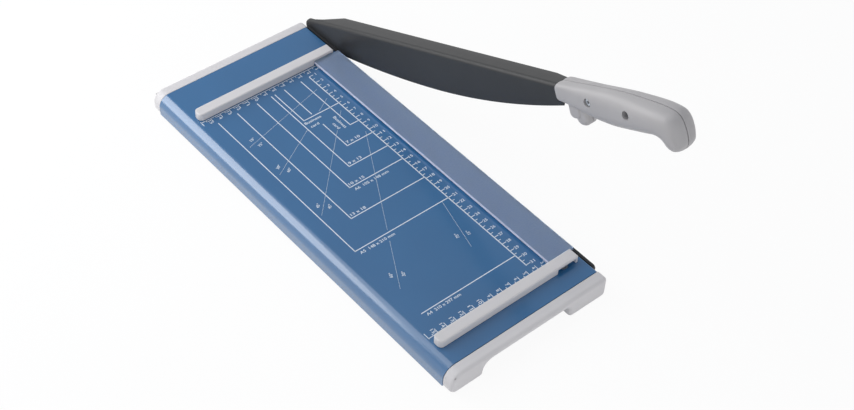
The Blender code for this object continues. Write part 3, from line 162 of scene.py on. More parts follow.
floor_mesh = bpy.data.meshes.new("sweep")
floor_mesh.from_pydata([(x * SWEEP_REACH, y * SWEEP_REACH, 0.0)
                        for x, y in ((-1, -1), (1, -1), (1, 1), (-1, 1))], [], [(0, 1, 2, 3)])
floor_mesh.materials.append(floor_paper)
floor = bpy.data.objects.new("sweep", floor_mesh)
bpy.context.scene.collection.objects.link(floor)

# Lamps: where each stands and what it faces, its width in metres and its watts.
for name, place, aim, width, watts in (
    ("rear_left_lamp", (-0.50, 0.72, 0.58), (0.0, 0.0, 0.02), 0.9, 6.2),
    ("overhead_lamp", (-0.1, 0.25, 1.2), (0.0, 0.0, 0.02), 1.1, 3.6),
    ("front_lamp", (-0.30, -1.40, 0.45), (0.0, 0.0, 0.05), 1.2, 3.2),
):
    lamp = bpy.data.objects.new(name, bpy.data.lights.new(name, "AREA"))
    lamp.data.shape = "DISK"
    lamp.data.size = width
    lamp.data.energy = watts
    lamp.location = place
    lamp.rotation_mode = "QUATERNION"
    lamp.rotation_quaternion = (Vector(aim) - Vector(place)).to_track_quat("-Z", "Y")
    bpy.context.scene.collection.objects.link(lamp)


# Table top: one sheet of 1.2 mm steel, rolled to a round edge on the left and bent down on the right,
# then stove enamelled in a mid blue.  It drops over the rail and is held at its ends by the caps.
TABLE_TOP = 22.0
SHEET = 1.2
SHEET_LEFT, SHEET_RIGHT = -172.4, -2.9
SHEET_FRONT, SHEET_REAR = -351.8, 49.9
ROLL_RADIUS, BEND_RADIUS = 11.0, 1.6
LEFT_WALL_FOOT, RIGHT_WALL_FOOT = 2.5, 8.6
FLAT_FROM_LEFT, FLAT_FROM_RIGHT = 13.0, 4.0
EDGE_STRIP = 0.5  # narrow faces along an edge, which keep its shading crisp
CUP_X, CUP_HOLE = -21.3, 4.9
OVERRUN = 4.0
FENCE_MIDDLES = (-328.9, 5.4)


def ring_faces(rows, columns):
    """Quads between neighbouring rings of a grid, each ring closed on itself."""
    corner = np.arange(rows * columns).reshape(rows, columns)
    beside = np.roll(corner, -1, axis=1)
    return np.stack((corner[:-1], beside[:-1], beside[1:], corner[1:]), axis=-1).reshape(-1, 4)


def through_rings(rings):
    """A closed solid: rings one after another, joined by quads, with a face across each end ring."""
    rows, columns = rings.shape[:2]
    first = np.arange(columns)[None, ::-1]
    last = np.arange(columns)[None, :] + (rows - 1) * columns
    return rings.reshape(-1, 3), [ring_faces(rows, columns), first, last]


def inside_out(points, groups):
    """Whether a closed solid's faces point inward: the sum of its signed corner volumes is negative."""
    volume = 0.0
    for group in groups:
        fan = points[group]
        volume += np.sum(fan[:, :1] * np.cross(fan[:, 1:-1], fan[:, 2:]))
    return volume < 0.0


def made(name, solids, finish, edge_angle=30.0):
    """Join closed solids to one piece in the frame's metres: faces outward, welded, edges sharp."""
    corners, start = [], 0
    for points, groups in solids:
        order = -1 if inside_out(points, groups) else 1
        for group in groups:
            corners += (group[:, ::order] + start).tolist()
        start += len(points)
    mesh = bpy.data.meshes.new(name)
    places = np.concatenate([points for points, groups in solids]) * MM + home
    mesh.from_pydata(places.tolist(), [], corners)
    shell = bmesh.new()
    shell.from_mesh(mesh)
    bmesh.ops.remove_doubles(shell, verts=shell.verts, dist=1e-6)
    shell.to_mesh(mesh)
    shell.free()
    mesh.materials.append(finish)
    mesh.shade_smooth()
    mesh.set_sharp_from_angle(angle=math.radians(edge_angle))
    piece = bpy.data.objects.new(name, mesh)
    bpy.context.scene.collection.objects.link(piece)
    return piece


def carve(piece, solids, edge_angle=30.0):
    """Take closed solids out of a piece and keep the result as its mesh."""
    tool = made("tool", solids, piece.data.materials[0])
    away = piece.modifiers.new("carve", "BOOLEAN")
    away.operation = "DIFFERENCE"
    away.solver = "EXACT"
    away.object = tool
    graph = bpy.context.evaluated_depsgraph_get()
    carved = bpy.data.meshes.new_from_object(piece.evaluated_get(graph))
    piece.modifiers.clear()
    uncarved, piece.data = piece.data, carved
    carved.name = piece.name
    carved.shade_smooth()
    carved.set_sharp_from_angle(angle=math.radians(edge_angle))
    bpy.data.batch_remove((tool, tool.data, uncarved))


def spun(profile, centre, axis, steps=64):
    """A turned solid: the profile's radius and place along the axis, swept round it by sine and cosine."""
    radius, along = np.array(profile, float).T
    turn = np.linspace(0.0, 2.0 * np.pi, steps, endpoint=False)
    around = radius[:, None, None] * np.stack((np.cos(turn), np.sin(turn)), axis=-1)[None]
    straight = np.broadcast_to(along[:, None, None], around.shape[:2] + (1,))
    rings = np.concatenate((around, straight), axis=-1)
    rings = {"z": rings, "x": rings[..., [2, 0, 1]]}[axis]
    return through_rings(rings + np.array(centre, float))


def patterned_finish(name, dark, light, cloud, numbers, rough=None, bump=None,
                     stretch=(1.0, 1.0, 1.0), slope=0.0):
    """A finish with up to three noise patterns, each with its width in millimetres and its detail
    first: the cloud mixes two colours, one takes the roughness from low to high, and one raises a bump
    of a strength and a depth in millimetres.  The last two lie turned by the slope and stretched."""
    material = bpy.data.materials.new(name)
    material.use_nodes = True
    tree = material.node_tree
    where = add(tree, "TexCoord").outputs["Object"]
    laid = add(tree, "Mapping", (), {"Scale": stretch, "Rotation": (slope, 0.0, 0.0)},
               {"Vector": where}).outputs[0]
    cloudy, rubbed, raised = (
        add(tree, "TexNoise", (), {"Scale": 1.0 / (pattern[0] * MM), "Detail": pattern[1]},
            {"Vector": on}).outputs["Fac"] if pattern else None
        for pattern, on in ((cloud, where), (rough, laid), (bump, laid)))
    links = {"Base Color": add(tree, "Mix", {"data_type": "RGBA"}, {6: dark, 7: light},
                               {0: cloudy}).outputs[2]}
    if rough:
        links["Roughness"] = add(tree, "MapRange", (), {"To Min": rough[2], "To Max": rough[3]},
                                 {"Value": rubbed}).outputs[0]
    if bump:
        links["Normal"] = add(tree, "Bump", (), {"Strength": bump[2], "Distance": bump[3] * MM},
                              {"Height": raised}).outputs[0]
    plug(tree, tree.nodes["Principled BSDF"], numbers, links)
    return material


def sheet_side(offset, steps=14):
    """Path of the sheet's section, drawn in by the offset: up the left wall, round the roll by a
    quarter circle, across, round the bend by a quarter circle and down the right wall."""
    roll = np.linspace(np.pi, np.pi / 2.0, 2 * steps)
    bend = np.linspace(np.pi / 2.0, 0.0, steps)
    roll_x = SHEET_LEFT + ROLL_RADIUS + (ROLL_RADIUS - offset) * np.cos(roll)
    roll_z = TABLE_TOP - ROLL_RADIUS + (ROLL_RADIUS - offset) * np.sin(roll)
    bend_x = SHEET_RIGHT - BEND_RADIUS + (BEND_RADIUS - offset) * np.cos(bend)
    bend_z = TABLE_TOP - BEND_RADIUS + (BEND_RADIUS - offset) * np.sin(bend)
    flat_x = [SHEET_LEFT + FLAT_FROM_LEFT, SHEET_RIGHT - FLAT_FROM_RIGHT]
    x = np.concatenate(([SHEET_LEFT + offset] * 2, roll_x, flat_x, bend_x, [SHEET_RIGHT - offset] * 2))
    z = np.concatenate(([LEFT_WALL_FOOT, LEFT_WALL_FOOT + EDGE_STRIP], roll_z, [TABLE_TOP - offset] * 2,
                        bend_z, [RIGHT_WALL_FOOT + EDGE_STRIP, RIGHT_WALL_FOOT]))
    return np.stack((x, z), axis=-1)


def folded_sheet():
    """The section's outer path and its inner path back, carried along the table, with quads across
    the thickness at each end."""
    outer, inner = sheet_side(0.0), sheet_side(SHEET)
    loop = np.concatenate((outer, inner[::-1]))
    ends = np.array((SHEET_FRONT, SHEET_FRONT + EDGE_STRIP, SHEET_REAR - EDGE_STRIP, SHEET_REAR))
    rings = np.zeros((len(ends), len(loop), 3))
    rings[..., 0], rings[..., 2] = loop[:, 0], loop[:, 1]
    rings[..., 1] = ends[:, None]
    count = len(outer)
    near = np.arange(count - 1)
    far_side = 2 * count - 1 - near
    end = np.stack((near, near + 1, far_side - 1, far_side), axis=-1)
    shift = (len(ends) - 1) * 2 * count
    return rings.reshape(-1, 3), [ring_faces(len(ends), 2 * count), end, end + shift]


# Stove enamel: a smooth film whose thickness wanders a little over tens of millimetres, with the faint
# orange peel of a sprayed coat about 1.6 mm apart, under a glossy skin.
enamel = patterned_finish(
    "stove_enamel_blue", linear("#145B8D"), linear("#18659A"), (70.0, 2.0),
    {"IOR": 1.55, "Coat Weight": 1.0, "Coat Roughness": 0.16, "Coat IOR": 1.8},
    rough=(9.0, 4.0, 0.30, 0.39), bump=(1.6, 1.0, 0.03, 0.02))
table_top = made("table_top", [folded_sheet()], enamel, edge_angle=40.0)
hole_profile = [(CUP_HOLE, TABLE_TOP - OVERRUN), (CUP_HOLE, TABLE_TOP + OVERRUN)]
carve(table_top, [spun(hole_profile, (CUP_X, middle, 0.0), "z") for middle in FENCE_MIDDLES],
      edge_angle=40.0)
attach(table_top, "table")
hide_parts("table_sheet")


# Printed marks: white ink, screen printed on the enamel and about as thick as a coat of paint.  Two
# width rulers lie along the fences, a length ruler along the cut, and between them lie the outlines
# of common sheet sizes and fine angle lines.
INK, INK_SUNK = 0.05, 0.02
HEAVY_LINE, LINE, RULE_LINE, TICK_LINE, FINE_LINE = 1.0, 0.9, 0.72, 0.63, 0.32
FIGURE, FIGURE_SWELL = 3.0, 0.012
MARK_SHIFT = 0.4
CENTIMETRE = 10.0


def plates(start, end, width):
    """Thin boxes along straight strokes: each runs from start to end, half its width to each side."""
    start, end = np.atleast_2d(np.array(start, float)), np.atleast_2d(np.array(end, float))
    way = (end - start) / np.linalg.norm(end - start, axis=1, keepdims=True)
    aside = np.stack((-way[:, 1], way[:, 0]), axis=-1) * width / 2.0
    flat = np.stack((start - aside, end - aside, end + aside, start + aside), axis=1)
    low = np.full(flat.shape[:2] + (1,), TABLE_TOP - INK_SUNK)
    boxes = np.concatenate((np.concatenate((flat, low), axis=-1),
                            np.concatenate((flat, low + INK_SUNK + INK), axis=-1)), axis=1)
    sides = np.array(((3, 2, 1, 0), (4, 5, 6, 7), (0, 1, 5, 4), (1, 2, 6, 5), (2, 3, 7, 6), (3, 0, 4, 7)))
    faces = sides[None] + 8 * np.arange(len(start))[:, None, None]
    return boxes.reshape(-1, 3), [faces.reshape(-1, 4)]


def across_table(left_of_cut, ahead):
    """Place on the table from millimetres left of the cut's ruler and ahead of the rear fence."""
    return np.stack(np.broadcast_arrays(-MARK_SHIFT - np.array(left_of_cut, float),
                                        -np.array(ahead, float)), axis=-1)


def values_of(items, field, width=1, kind=float):
    """One field of a mesh's points, corners or faces as an array, with a row for each of them."""
    flat = np.empty(len(items) * width, kind)
    items.foreach_get(field, flat)
    return flat.reshape(-1, width) if width > 1 else flat


def lettering(text, left_of_cut, ahead, turn=0.0, width=None):
    """Letters as thin solids, scaled to the figure height, centred on a place and turned about it."""
    curve = bpy.data.curves.new("lettering", "FONT")
    curve.body = text
    curve.resolution_u = 3
    curve.offset = FIGURE_SWELL
    curve.extrude = 0.5
    holder = bpy.data.objects.new("lettering", curve)
    mesh = bpy.data.meshes.new_from_object(holder)
    points = values_of(mesh.vertices, "co", 3)
    sizes = values_of(mesh.polygons, "loop_total", kind=int)
    corners = values_of(mesh.loops, "vertex_index", kind=int)
    starts = np.concatenate(([0], np.cumsum(sizes)[:-1]))
    groups = [corners[starts[sizes == size][:, None] + np.arange(size)] for size in np.unique(sizes)]
    bpy.data.batch_remove((holder, mesh, curve))
    low, high = points.min(axis=0), points.max(axis=0)
    scale = FIGURE / high[1]
    stretch = scale if width is None else width / (high[0] - low[0])
    flat = (points[:, :2] - np.array(((low[0] + high[0]) / 2.0, high[1] / 2.0))) * (stretch, scale)
    angle = math.radians(turn)
    spin = np.array(((math.cos(angle), math.sin(angle)), (-math.sin(angle), math.cos(angle))))
    places = flat @ spin + across_table(left_of_cut, ahead)
    depth = np.where(points[:, 2:] > 0.0, TABLE_TOP + INK, TABLE_TOP - INK_SUNK)
    return np.concatenate((places, depth), axis=1), groups


# The cut's ruler: its line's place and two ends, then where its ticks end and its figures stand.
RULER_LINE, RULER_REAR, RULER_FRONT = 45.0, 10.3, 310.8
LONG_TICK, SHORT_TICK, RULER_FIGURES, RULER_PAIR_WIDTH = 40.3, 42.0, 37.6, 4.3
marks = []


def stroke(left_start, ahead_start, left_end, ahead_end, width):
    """Print a straight line, or a row of them, from one place on the table to another."""
    marks.append(plates(across_table(left_start, ahead_start), across_table(left_end, ahead_end), width))


centimetres = np.arange(1, 32) * CENTIMETRE
midway = np.arange(1, 31) * CENTIMETRE + CENTIMETRE / 2.0
stroke(RULER_LINE, RULER_REAR, RULER_LINE, RULER_FRONT, HEAVY_LINE)
stroke(RULER_LINE, centimetres, LONG_TICK, centimetres, RULE_LINE)
stroke(RULER_LINE, midway, SHORT_TICK, midway, TICK_LINE)
marks += [lettering(str(count), RULER_FIGURES, CENTIMETRE * count,
                    width=None if count < 10 else RULER_PAIR_WIDTH) for count in range(1, 32)]

# The rear and the front width ruler: the line, where its long and its short ticks end, the two ends of
# its last tick, and how far aside and ahead its figures stand.
WIDTH_RULERS = ((1.2, 6.3, 3.2, (-0.2, 6.1), (2.3, 5.1)),
                (319.9, 314.8, 317.8, (313.8, 320.6), (2.4, 316.2)))
WIDTH_END, WIDTH_PAIR_WIDTH = 160.0, 4.6
across = np.arange(1, 16) * CENTIMETRE
between = np.arange(0, 16) * CENTIMETRE + CENTIMETRE / 2.0
for line, long_end, short_end, last_tick, (aside, ahead) in WIDTH_RULERS:
    stroke(0.0, line, WIDTH_END, line, RULE_LINE)
    stroke(WIDTH_END, last_tick[0], WIDTH_END, last_tick[1], RULE_LINE)
    stroke(across, line, across, long_end, TICK_LINE)
    stroke(between, line, between, short_end, TICK_LINE)
    marks += [lettering(str(count), CENTIMETRE * count + aside, ahead, -90.0,
                        None if count < 10 else WIDTH_PAIR_WIDTH) for count in range(1, 16)]

# Outlines of the sheet sizes: each drops from the rear ruler and turns right to the cut's ruler.  The
# smallest upright one is broken at its label, and the largest shows only its front edge.
SIZES = ((148.0, 210.0), (127.0, 178.0), (105.0, 148.0), (89.1, 127.0), (85.0, 55.3), (55.0, 85.0))
SIZES_REAR = 10.5
PART_LINES = ((74.0, SIZES_REAR, 74.0, 52.6), (74.0, 69.2, 74.0, 105.1),
              (74.4, 105.1, RULER_LINE, 105.1), (148.1, 296.5, RULER_LINE, 296.5))
SIZE_LABELS = (
    ("7 x 10", 64.6, 101.2, 0.0, 14.8), ("9 x 13", 80.2, 123.6, 0.0, 14.2),
    ("10 x 15", 94.8, 144.5, 0.0, 16.7), ("A6  105 x 148 mm", 84.2, 152.4, 0.0, 37.3),
    ("13 x 18", 116.7, 174.5, 0.0, 16.1), ("A5  148 x 210 mm", 127.3, 214.1, 0.0, 36.7),
    ("A4  210 x 297 mm", 127.2, 300.0, 0.0, 35.8), ("Business", 78.0, 59.3, 0.0, 18.0),
    ("card", 80.5, 65.6, 0.0, 9.0), ("Business", 60.0, 76.5, -90.0, 18.0), ("card", 65.7, 78.5, -90.0, 9.0),
)
for wide, long in SIZES:
    stroke(wide, SIZES_REAR, wide, long, LINE)
    stroke(wide + LINE / 2.0, long, RULER_LINE, long, LINE)
for ends in PART_LINES:
    stroke(*ends, LINE)
marks += [lettering(*label) for label in SIZE_LABELS]

# Angle lines: fine dashes from one point beside the rear fence, broken at the labels.  Each run has its
# angle and its near and far end, and each label its figure, place and slope.
ANGLE_DASH, ANGLE_STEP, ANGLE_POINT = 1.0, 1.6, 15.0
ANGLE_RUNS = ((15, 50.0, 144.0), (30, 50.0, 66.0), (30, 90.0, 144.0), (45, 50.0, 56.0),
              (45, 69.0, 144.0), (60, 49.5, 111.0), (60, 117.5, 144.0), (75, 52.4, 66.9))
ANGLE_LABELS = ((15, 136.5, 46.7, 15), (75, 134.3, 56.5, 15), (30, 138.7, 89.2, 30),
                (60, 133.6, 98.0, 30), (45, 140.1, 148.4, 45), (45, 132.7, 155.3, 45),
                (60, 141.3, 249.0, 60), (30, 132.0, 254.0, 60), (75, 68.8, 248.9, 75),
                (15, 58.7, 252.0, 75))
for degrees, near, far in ANGLE_RUNS:
    slope = math.tan(math.radians(degrees))
    step = ANGLE_STEP * math.cos(math.radians(degrees))
    begin = np.arange(near, far, step)
    end = begin + step * ANGLE_DASH / ANGLE_STEP
    stroke(begin, ANGLE_POINT + begin * slope, end, ANGLE_POINT + end * slope, FINE_LINE)
marks += [lettering(f"{degrees}°", left, ahead, turn) for degrees, left, ahead, turn in ANGLE_LABELS]


# Screen ink: matt white that lets a little of the blue through where its film is thin, as the mesh of
# the screen leaves it, in specks drawn 0.8 mm wide so that they show.
screen_ink = patterned_finish("screen_ink_white", linear("#C6D2E0"), linear("#E6EBF2"), (0.8, 2.0),
                              {"Roughness": 0.5})
printed_marks = made("printed_marks", marks, screen_ink)
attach(printed_marks, "table")


# Bed knife and rail: a strip of hardened steel, blackened, screwed to a plain steel bar under the
# table's right edge.  Their plain shapes stay as they are and get their finish.

def metal_finish(name, colour, roughness, grain, stretch=(1.0, 1.0, 1.0)):
    """Bare or plated steel: fine parallel scratches blur its gloss, as long along each axis as the
    axis's share in the stretch is small, and it dulls in patches."""
    light = linear(colour)
    dark = tuple(0.86 * part for part in light[:3]) + (1.0,)
    return patterned_finish(name, dark, light, (14.0, 3.0), {"Metallic": 1.0},
                            (grain, 3.0, roughness - 0.08, roughness + 0.10), (grain, 3.0, 0.10, 0.02),
                            stretch)


def refinish(finish, *names):
    """Give CAD nodes a finish in place of their plain one."""
    for name in names:
        nodes[name].data.materials.clear()
        nodes[name].data.materials.append(finish)


# Screws: the head's radius, its face and its underside from the seat, the shank's radius and the tip.
KNIFE_SCREW = (3.3, 0.0, 1.6, 1.9, 10.9)
KNIFE_SCREW_PLACES = np.linspace(-316.0, 14.0, 5)
KNIFE_SCREW_SEAT, KNIFE_SCREW_HEIGHT, KNIFE_SCREW_CROWN = -0.35, 15.0, 0.05
# The driver's cross: half its width, its reach, its depth and its edge's slope, by the head's radius.
CROSS_SHARES = (0.17, 0.62, 0.34, 0.08)


def screw(centre, way, sizes, lean, crown=0.35):
    """A screw along X, facing the given way: over rings from its middle to its rim the head's face
    falls from its crown by the square of the radius, and sinks in a driver's cross, whose edge is a
    smooth step.  Below the rim it narrows to the shank and runs to the tip."""
    radius, face, under, shank, tip = sizes
    wide, reach, deep, slope = (share * radius for share in CROSS_SHARES)
    ray = np.linspace(0.04, 1.0, 26)[:, None] * radius
    turn = np.linspace(0.0, 2.0 * np.pi, 96, endpoint=False)[None]
    across, up = np.abs(ray * np.cos(turn + lean)), np.abs(ray * np.sin(turn + lean))
    edge = np.minimum(np.maximum(across - wide, up - reach), np.maximum(up - wide, across - reach))
    top = face + crown * (1.0 - (ray / radius) ** 2) - np.clip(0.5 - edge / slope, 0.0, 1.0) * deep
    ring = np.stack((top, ray * np.cos(turn), ray * np.sin(turn)), axis=-1)
    profile = np.array(((radius, face - 0.15), (radius * 0.985, face - (face + under) * 0.5),
                        (shank + 0.2, -under), (shank, -under - 0.2), (shank, 0.6 - tip),
                        (shank * 0.5, -tip)))
    body = np.stack(np.broadcast_arrays(profile[:, 1:], profile[:, :1] * np.cos(turn),
                                        profile[:, :1] * np.sin(turn)), axis=-1)
    rings = np.concatenate((ring, body)) * (way, 1.0, 1.0)
    return through_rings(rings + np.array(centre, float))


# Black oxide on steel: a dark film with a low sheen, which clouds over a few centimetres, and fine marks
# square to the arm's length, left by rolling, drawn 0.9 mm apart so that they show.
REST_ANGLE = math.radians(23.9)
black_oxide = patterned_finish(
    "black_oxide_steel", linear("#1D1E20"), linear("#252628"), (22.0, 3.0), {"IOR": 1.5},
    (0.9, 3.0, 0.40, 0.50), (0.9, 3.0, 0.05, 0.02), (0.06, 1.0, 0.3), REST_ANGLE)
rolled_steel = metal_finish("cold_rolled_steel", "#A3A5A8", 0.38, 0.4, (1.0, 0.05, 1.0))
zinc = metal_finish("zinc_plated_steel", "#DDE2E8", 0.42, 0.6)
refinish(black_oxide, "bed_knife")
refinish(rolled_steel, "knife_rail")
refinish(zinc, *[name for name in nodes if name.startswith(("cap_screw", "fence_screw"))])
for number, back in enumerate(KNIFE_SCREW_PLACES, 1):
    seat = (KNIFE_SCREW_SEAT, back, KNIFE_SCREW_HEIGHT)
    knife_screw = made(f"knife_fixing_screw_{number}",
                       [screw(seat, 1.0, KNIFE_SCREW, 0.4 * number, KNIFE_SCREW_CROWN)], zinc)
    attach(knife_screw, "table")
    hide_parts(f"bed_knife_screw_{number}")


# End caps: hollow mouldings in pale grey ABS that close the front and the rear of the table and stand
# on two feet with an arch between them.  A lip reaches under the sheet, and one screw holds each.
CAP_LEFT, CAP_RIGHT = -172.4, -1.1
CAP_LENGTH, CAP_WALL, CAP_EDGE, CAP_RIM = 10.8, 2.4, 3.4, 0.25
CAP_LIFT = 0.8
CAP_FRONT, CAP_REAR = -363.1, 61.1
ARCH_LEFT, ARCH_RIGHT, ARCH_TOP, ARCH_DRAFT = -138.4, -42.4, 14.6, 1.5
FOOT_START, FOOT_LENGTH = 1.5, 24.8
LEFT_FOOT_SIDE, RIGHT_FOOT_SIDE, FOOT_FROM_ARCH = 2.3, 1.2, 1.2
LEFT_FOOT_TOP, RIGHT_FOOT_TOP = 11.2, 7.7
LIP_START, LIP_END = 1.0, 22.8
LIP_LEFT, LIP_SLOPE, LIP_RIGHT = -168.5, -161.0, -16.0
LIP_LOW, LIP_UNDER, LIP_TOP = 15.0, 18.5, 20.5
FLAT_RIM = 0.15  # a narrow ring inside each flat end, which keeps it shading flat


def outline(corners, inset=0.0, steps=8):
    """A polygon drawn in by the inset, each corner rounded by an arc of its radius.  Outer corners lose
    the inset from their radius and inner ones gain it.  Corners are (across, up, radius), listed
    against the clock."""
    corners = np.array(corners, float)
    place, radius = corners[:, :2], corners[:, 2]
    ahead = np.roll(place, -1, axis=0) - place
    ahead /= np.linalg.norm(ahead, axis=1, keepdims=True)
    behind = np.roll(ahead, 1, axis=0)
    inward = np.stack((-ahead[:, 1], ahead[:, 0]), axis=-1)
    inward_before = np.roll(inward, 1, axis=0)
    lean = 1.0 + np.sum(inward * inward_before, axis=1, keepdims=True)
    place = place + inset * (inward + inward_before) / lean
    bend = behind[:, 0] * ahead[:, 1] - behind[:, 1] * ahead[:, 0]
    radius = np.where(bend > 0.0, np.maximum(radius - inset, 0.02), radius + inset)
    turn = np.arctan2(bend, np.sum(ahead * behind, axis=1))
    reach = radius * np.tan(np.abs(turn) / 2.0)
    begin = place - behind * reach[:, None]
    side = np.sign(turn)
    to_centre = np.stack((-behind[:, 1], behind[:, 0]), axis=-1) * side[:, None]
    centre = begin + to_centre * radius[:, None]
    swing = np.linspace(0.0, 1.0, steps) * turn[:, None]
    arm_x, arm_y = (begin - centre).T
    x = centre[:, :1] + arm_x[:, None] * np.cos(swing) - arm_y[:, None] * np.sin(swing)
    y = centre[:, 1:] + arm_x[:, None] * np.sin(swing) + arm_y[:, None] * np.cos(swing)
    return np.stack((x, y), axis=-1).reshape(-1, 2)


def laid(flat, depth, axis):
    """Rings in space from flat outlines and their depths along an axis."""
    across, up = flat[..., 0], flat[..., 1]
    depth = np.broadcast_to(np.array(depth, float)[:, None], across.shape)
    order = {"x": (depth, across, up), "y": (across, depth, up), "z": (across, up, depth)}[axis]
    return np.stack(order, axis=-1)


def block(corners, low, high, axis, low_edge, high_edge=None, steps=6):
    """A prism with rounded edges: the outline at every depth, drawn in along a quarter circle at each
    end, with one more ring just inside each flat so that it shades flat."""
    high_edge = low_edge if high_edge is None else high_edge
    turn = np.linspace(0.0, np.pi / 2.0, steps)
    inset = np.concatenate(([low_edge + FLAT_RIM], low_edge * (1.0 - np.sin(turn)),
                            high_edge * (1.0 - np.cos(turn)), [high_edge + FLAT_RIM]))
    depth = np.concatenate(([low], low + low_edge * (1.0 - np.cos(turn)),
                            high - high_edge * (1.0 - np.sin(turn)), [high]))
    flat = np.stack([outline(corners, amount) for amount in inset])
    return through_rings(laid(flat, depth, axis))


CAP_SIDE = (
    (ARCH_LEFT + ARCH_DRAFT, ARCH_TOP, 9.0), (ARCH_LEFT, CAP_LIFT, 3.4), (CAP_LEFT, CAP_LIFT, 6.0),
    (CAP_LEFT, TABLE_TOP, ROLL_RADIUS), (CAP_RIGHT, TABLE_TOP, 3.2), (CAP_RIGHT, CAP_LIFT, 4.5),
    (ARCH_RIGHT, CAP_LIFT, 3.4), (ARCH_RIGHT - ARCH_DRAFT, ARCH_TOP, 6.0),
)[::-1]


def cap_shell(face, way):
    """The cap's skin: its outline swells from the flat face round a quarter circle, runs back, steps in
    at the rim by the wall's thickness and returns inside to the back of the face."""
    turn = np.linspace(0.0, np.pi / 2.0, 8)
    inset = np.concatenate(([CAP_EDGE + 2.0 * FLAT_RIM], CAP_EDGE * (1.0 - np.sin(turn)), [0.0, CAP_RIM],
                            [CAP_WALL, CAP_WALL, CAP_WALL + 2.0 * FLAT_RIM]))
    depth = np.concatenate(([0.0], CAP_EDGE * (1.0 - np.cos(turn)), [CAP_LENGTH - CAP_RIM, CAP_LENGTH],
                            [CAP_LENGTH, CAP_WALL, CAP_WALL]))
    flat = np.stack([outline(CAP_SIDE, amount) for amount in inset])
    return through_rings(laid(flat, face + way * depth, "y"))


def cap_blocks(face, way):
    """The blocks behind the feet, which carry the pads, and the lip under the sheet."""
    def between(near, far):
        return sorted((face + way * near, face + way * far))
    outer, inner = CAP_LEFT + LEFT_FOOT_SIDE, ARCH_LEFT - FOOT_FROM_ARCH
    left = [(outer, CAP_LIFT, 4.5), (inner, CAP_LIFT, 3.0), (inner, LEFT_FOOT_TOP, 1.0),
            (outer, LEFT_FOOT_TOP, 3.0)]
    inner, outer = ARCH_RIGHT + FOOT_FROM_ARCH, CAP_RIGHT - RIGHT_FOOT_SIDE
    right = [(inner, CAP_LIFT, 3.0), (outer, CAP_LIFT, 3.6), (outer, RIGHT_FOOT_TOP, 1.0),
             (inner, RIGHT_FOOT_TOP, 1.0)]
    lip = [(LIP_LEFT, LIP_UNDER, 0.8), (LIP_RIGHT, LIP_UNDER, 0.8), (LIP_RIGHT, LIP_TOP, 0.8),
           (LIP_SLOPE, LIP_TOP, 2.0), (LIP_LEFT, LIP_LOW, 2.0)]
    feet = [block(side, *between(FOOT_START, FOOT_LENGTH), "y", 1.0) for side in (left, right)]
    return [*feet, block(lip, *between(LIP_START, LIP_END), "y", 0.4)]


def moulded_finish(name, colour, shade_colour, roughness):
    """Moulded ABS: even grey with a very faint flow mottle, and the fine pits that spark erosion of the
    tool leaves, 0.3 mm apart in the real one and drawn 0.6 mm apart so that they show."""
    return patterned_finish(name, linear(shade_colour), linear(colour), (26.0, 3.0), {"IOR": 1.53},
                            (0.6, 2.0, roughness - 0.05, roughness + 0.06), (0.6, 2.0, 0.22, 0.03))


grey_abs = moulded_finish("moulded_abs_grey", "#D6D4D5", "#D0CED0", 0.46)
for end, face, way in (("front", CAP_FRONT, 1.0), ("rear", CAP_REAR, -1.0)):
    cap = made(f"{end}_cap", [cap_shell(face, way), *cap_blocks(face, way)], grey_abs, 40.0)
    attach(cap, "table")
    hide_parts(f"{end}_end_cap")


# Feet: four round pads of black rubber, moulded and pushed into the blocks behind the caps' feet.  They
# lift the cutter off the desk and keep it from sliding.  Their plain shapes stay and get their finish.
# Moulded rubber: matt black with a dusty bloom in patches of a few millimetres.
rubber = patterned_finish("moulded_rubber_black", linear("#1C1C1D"), linear("#2B2B2C"), (3.0, 4.0),
                          {"Roughness": 0.85}, bump=(3.0, 4.0, 0.3, 0.05))
refinish(rubber, *[name for name in nodes if name.startswith("rubber_foot")])


# Fences: two solid bars of the same grey ABS across the table, screwed from below.  Each is rounded at
# its left end, has a notch under its right end for the guard's tongue, and a black pin at its end.
FENCE_LEFT, FENCE_RIGHT = -160.4, -8.8
FENCE_FOOT, FENCE_TOP, FENCE_EDGE, FENCE_FOOT_EDGE = 22.3, 30.0, 1.2, 0.3
FENCE_LEFT_ROUND, FENCE_RIGHT_ROUND = 4.2, 0.9
FENCE_FACES = {"front": (-334.3, -323.5), "rear": (0.0, 10.8)}
NOTCH_LEFT, NOTCH_RIGHT, NOTCH_TOP = -31.9, -11.0, 27.4

for end, (near, far) in FENCE_FACES.items():
    plan = [(FENCE_LEFT, near, FENCE_LEFT_ROUND), (FENCE_RIGHT, near, FENCE_RIGHT_ROUND),
            (FENCE_RIGHT, far, FENCE_RIGHT_ROUND), (FENCE_LEFT, far, FENCE_LEFT_ROUND)]
    notch = [(NOTCH_LEFT, FENCE_FOOT - OVERRUN, 0.3), (NOTCH_RIGHT, FENCE_FOOT - OVERRUN, 0.3),
             (NOTCH_RIGHT, NOTCH_TOP, 0.5), (NOTCH_LEFT, NOTCH_TOP, 0.5)]
    bar = made(f"{end}_bar", [block(plan, FENCE_FOOT, FENCE_TOP, "z", FENCE_FOOT_EDGE, FENCE_EDGE)],
               grey_abs)
    carve(bar, [block(notch, near - OVERRUN, far + OVERRUN, "y", 0.3)])
    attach(bar, "table")
    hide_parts(f"{end}_fence")

# The pins and the cups under the table keep their plain shapes and get their finish.
black_abs = moulded_finish("moulded_abs_black", "#232324", "#1B1B1C", 0.5)
refinish(black_abs, "fence_pin_front", "fence_pin_rear")
refinish(grey_abs, "spring_cup_front", "spring_cup_rear")


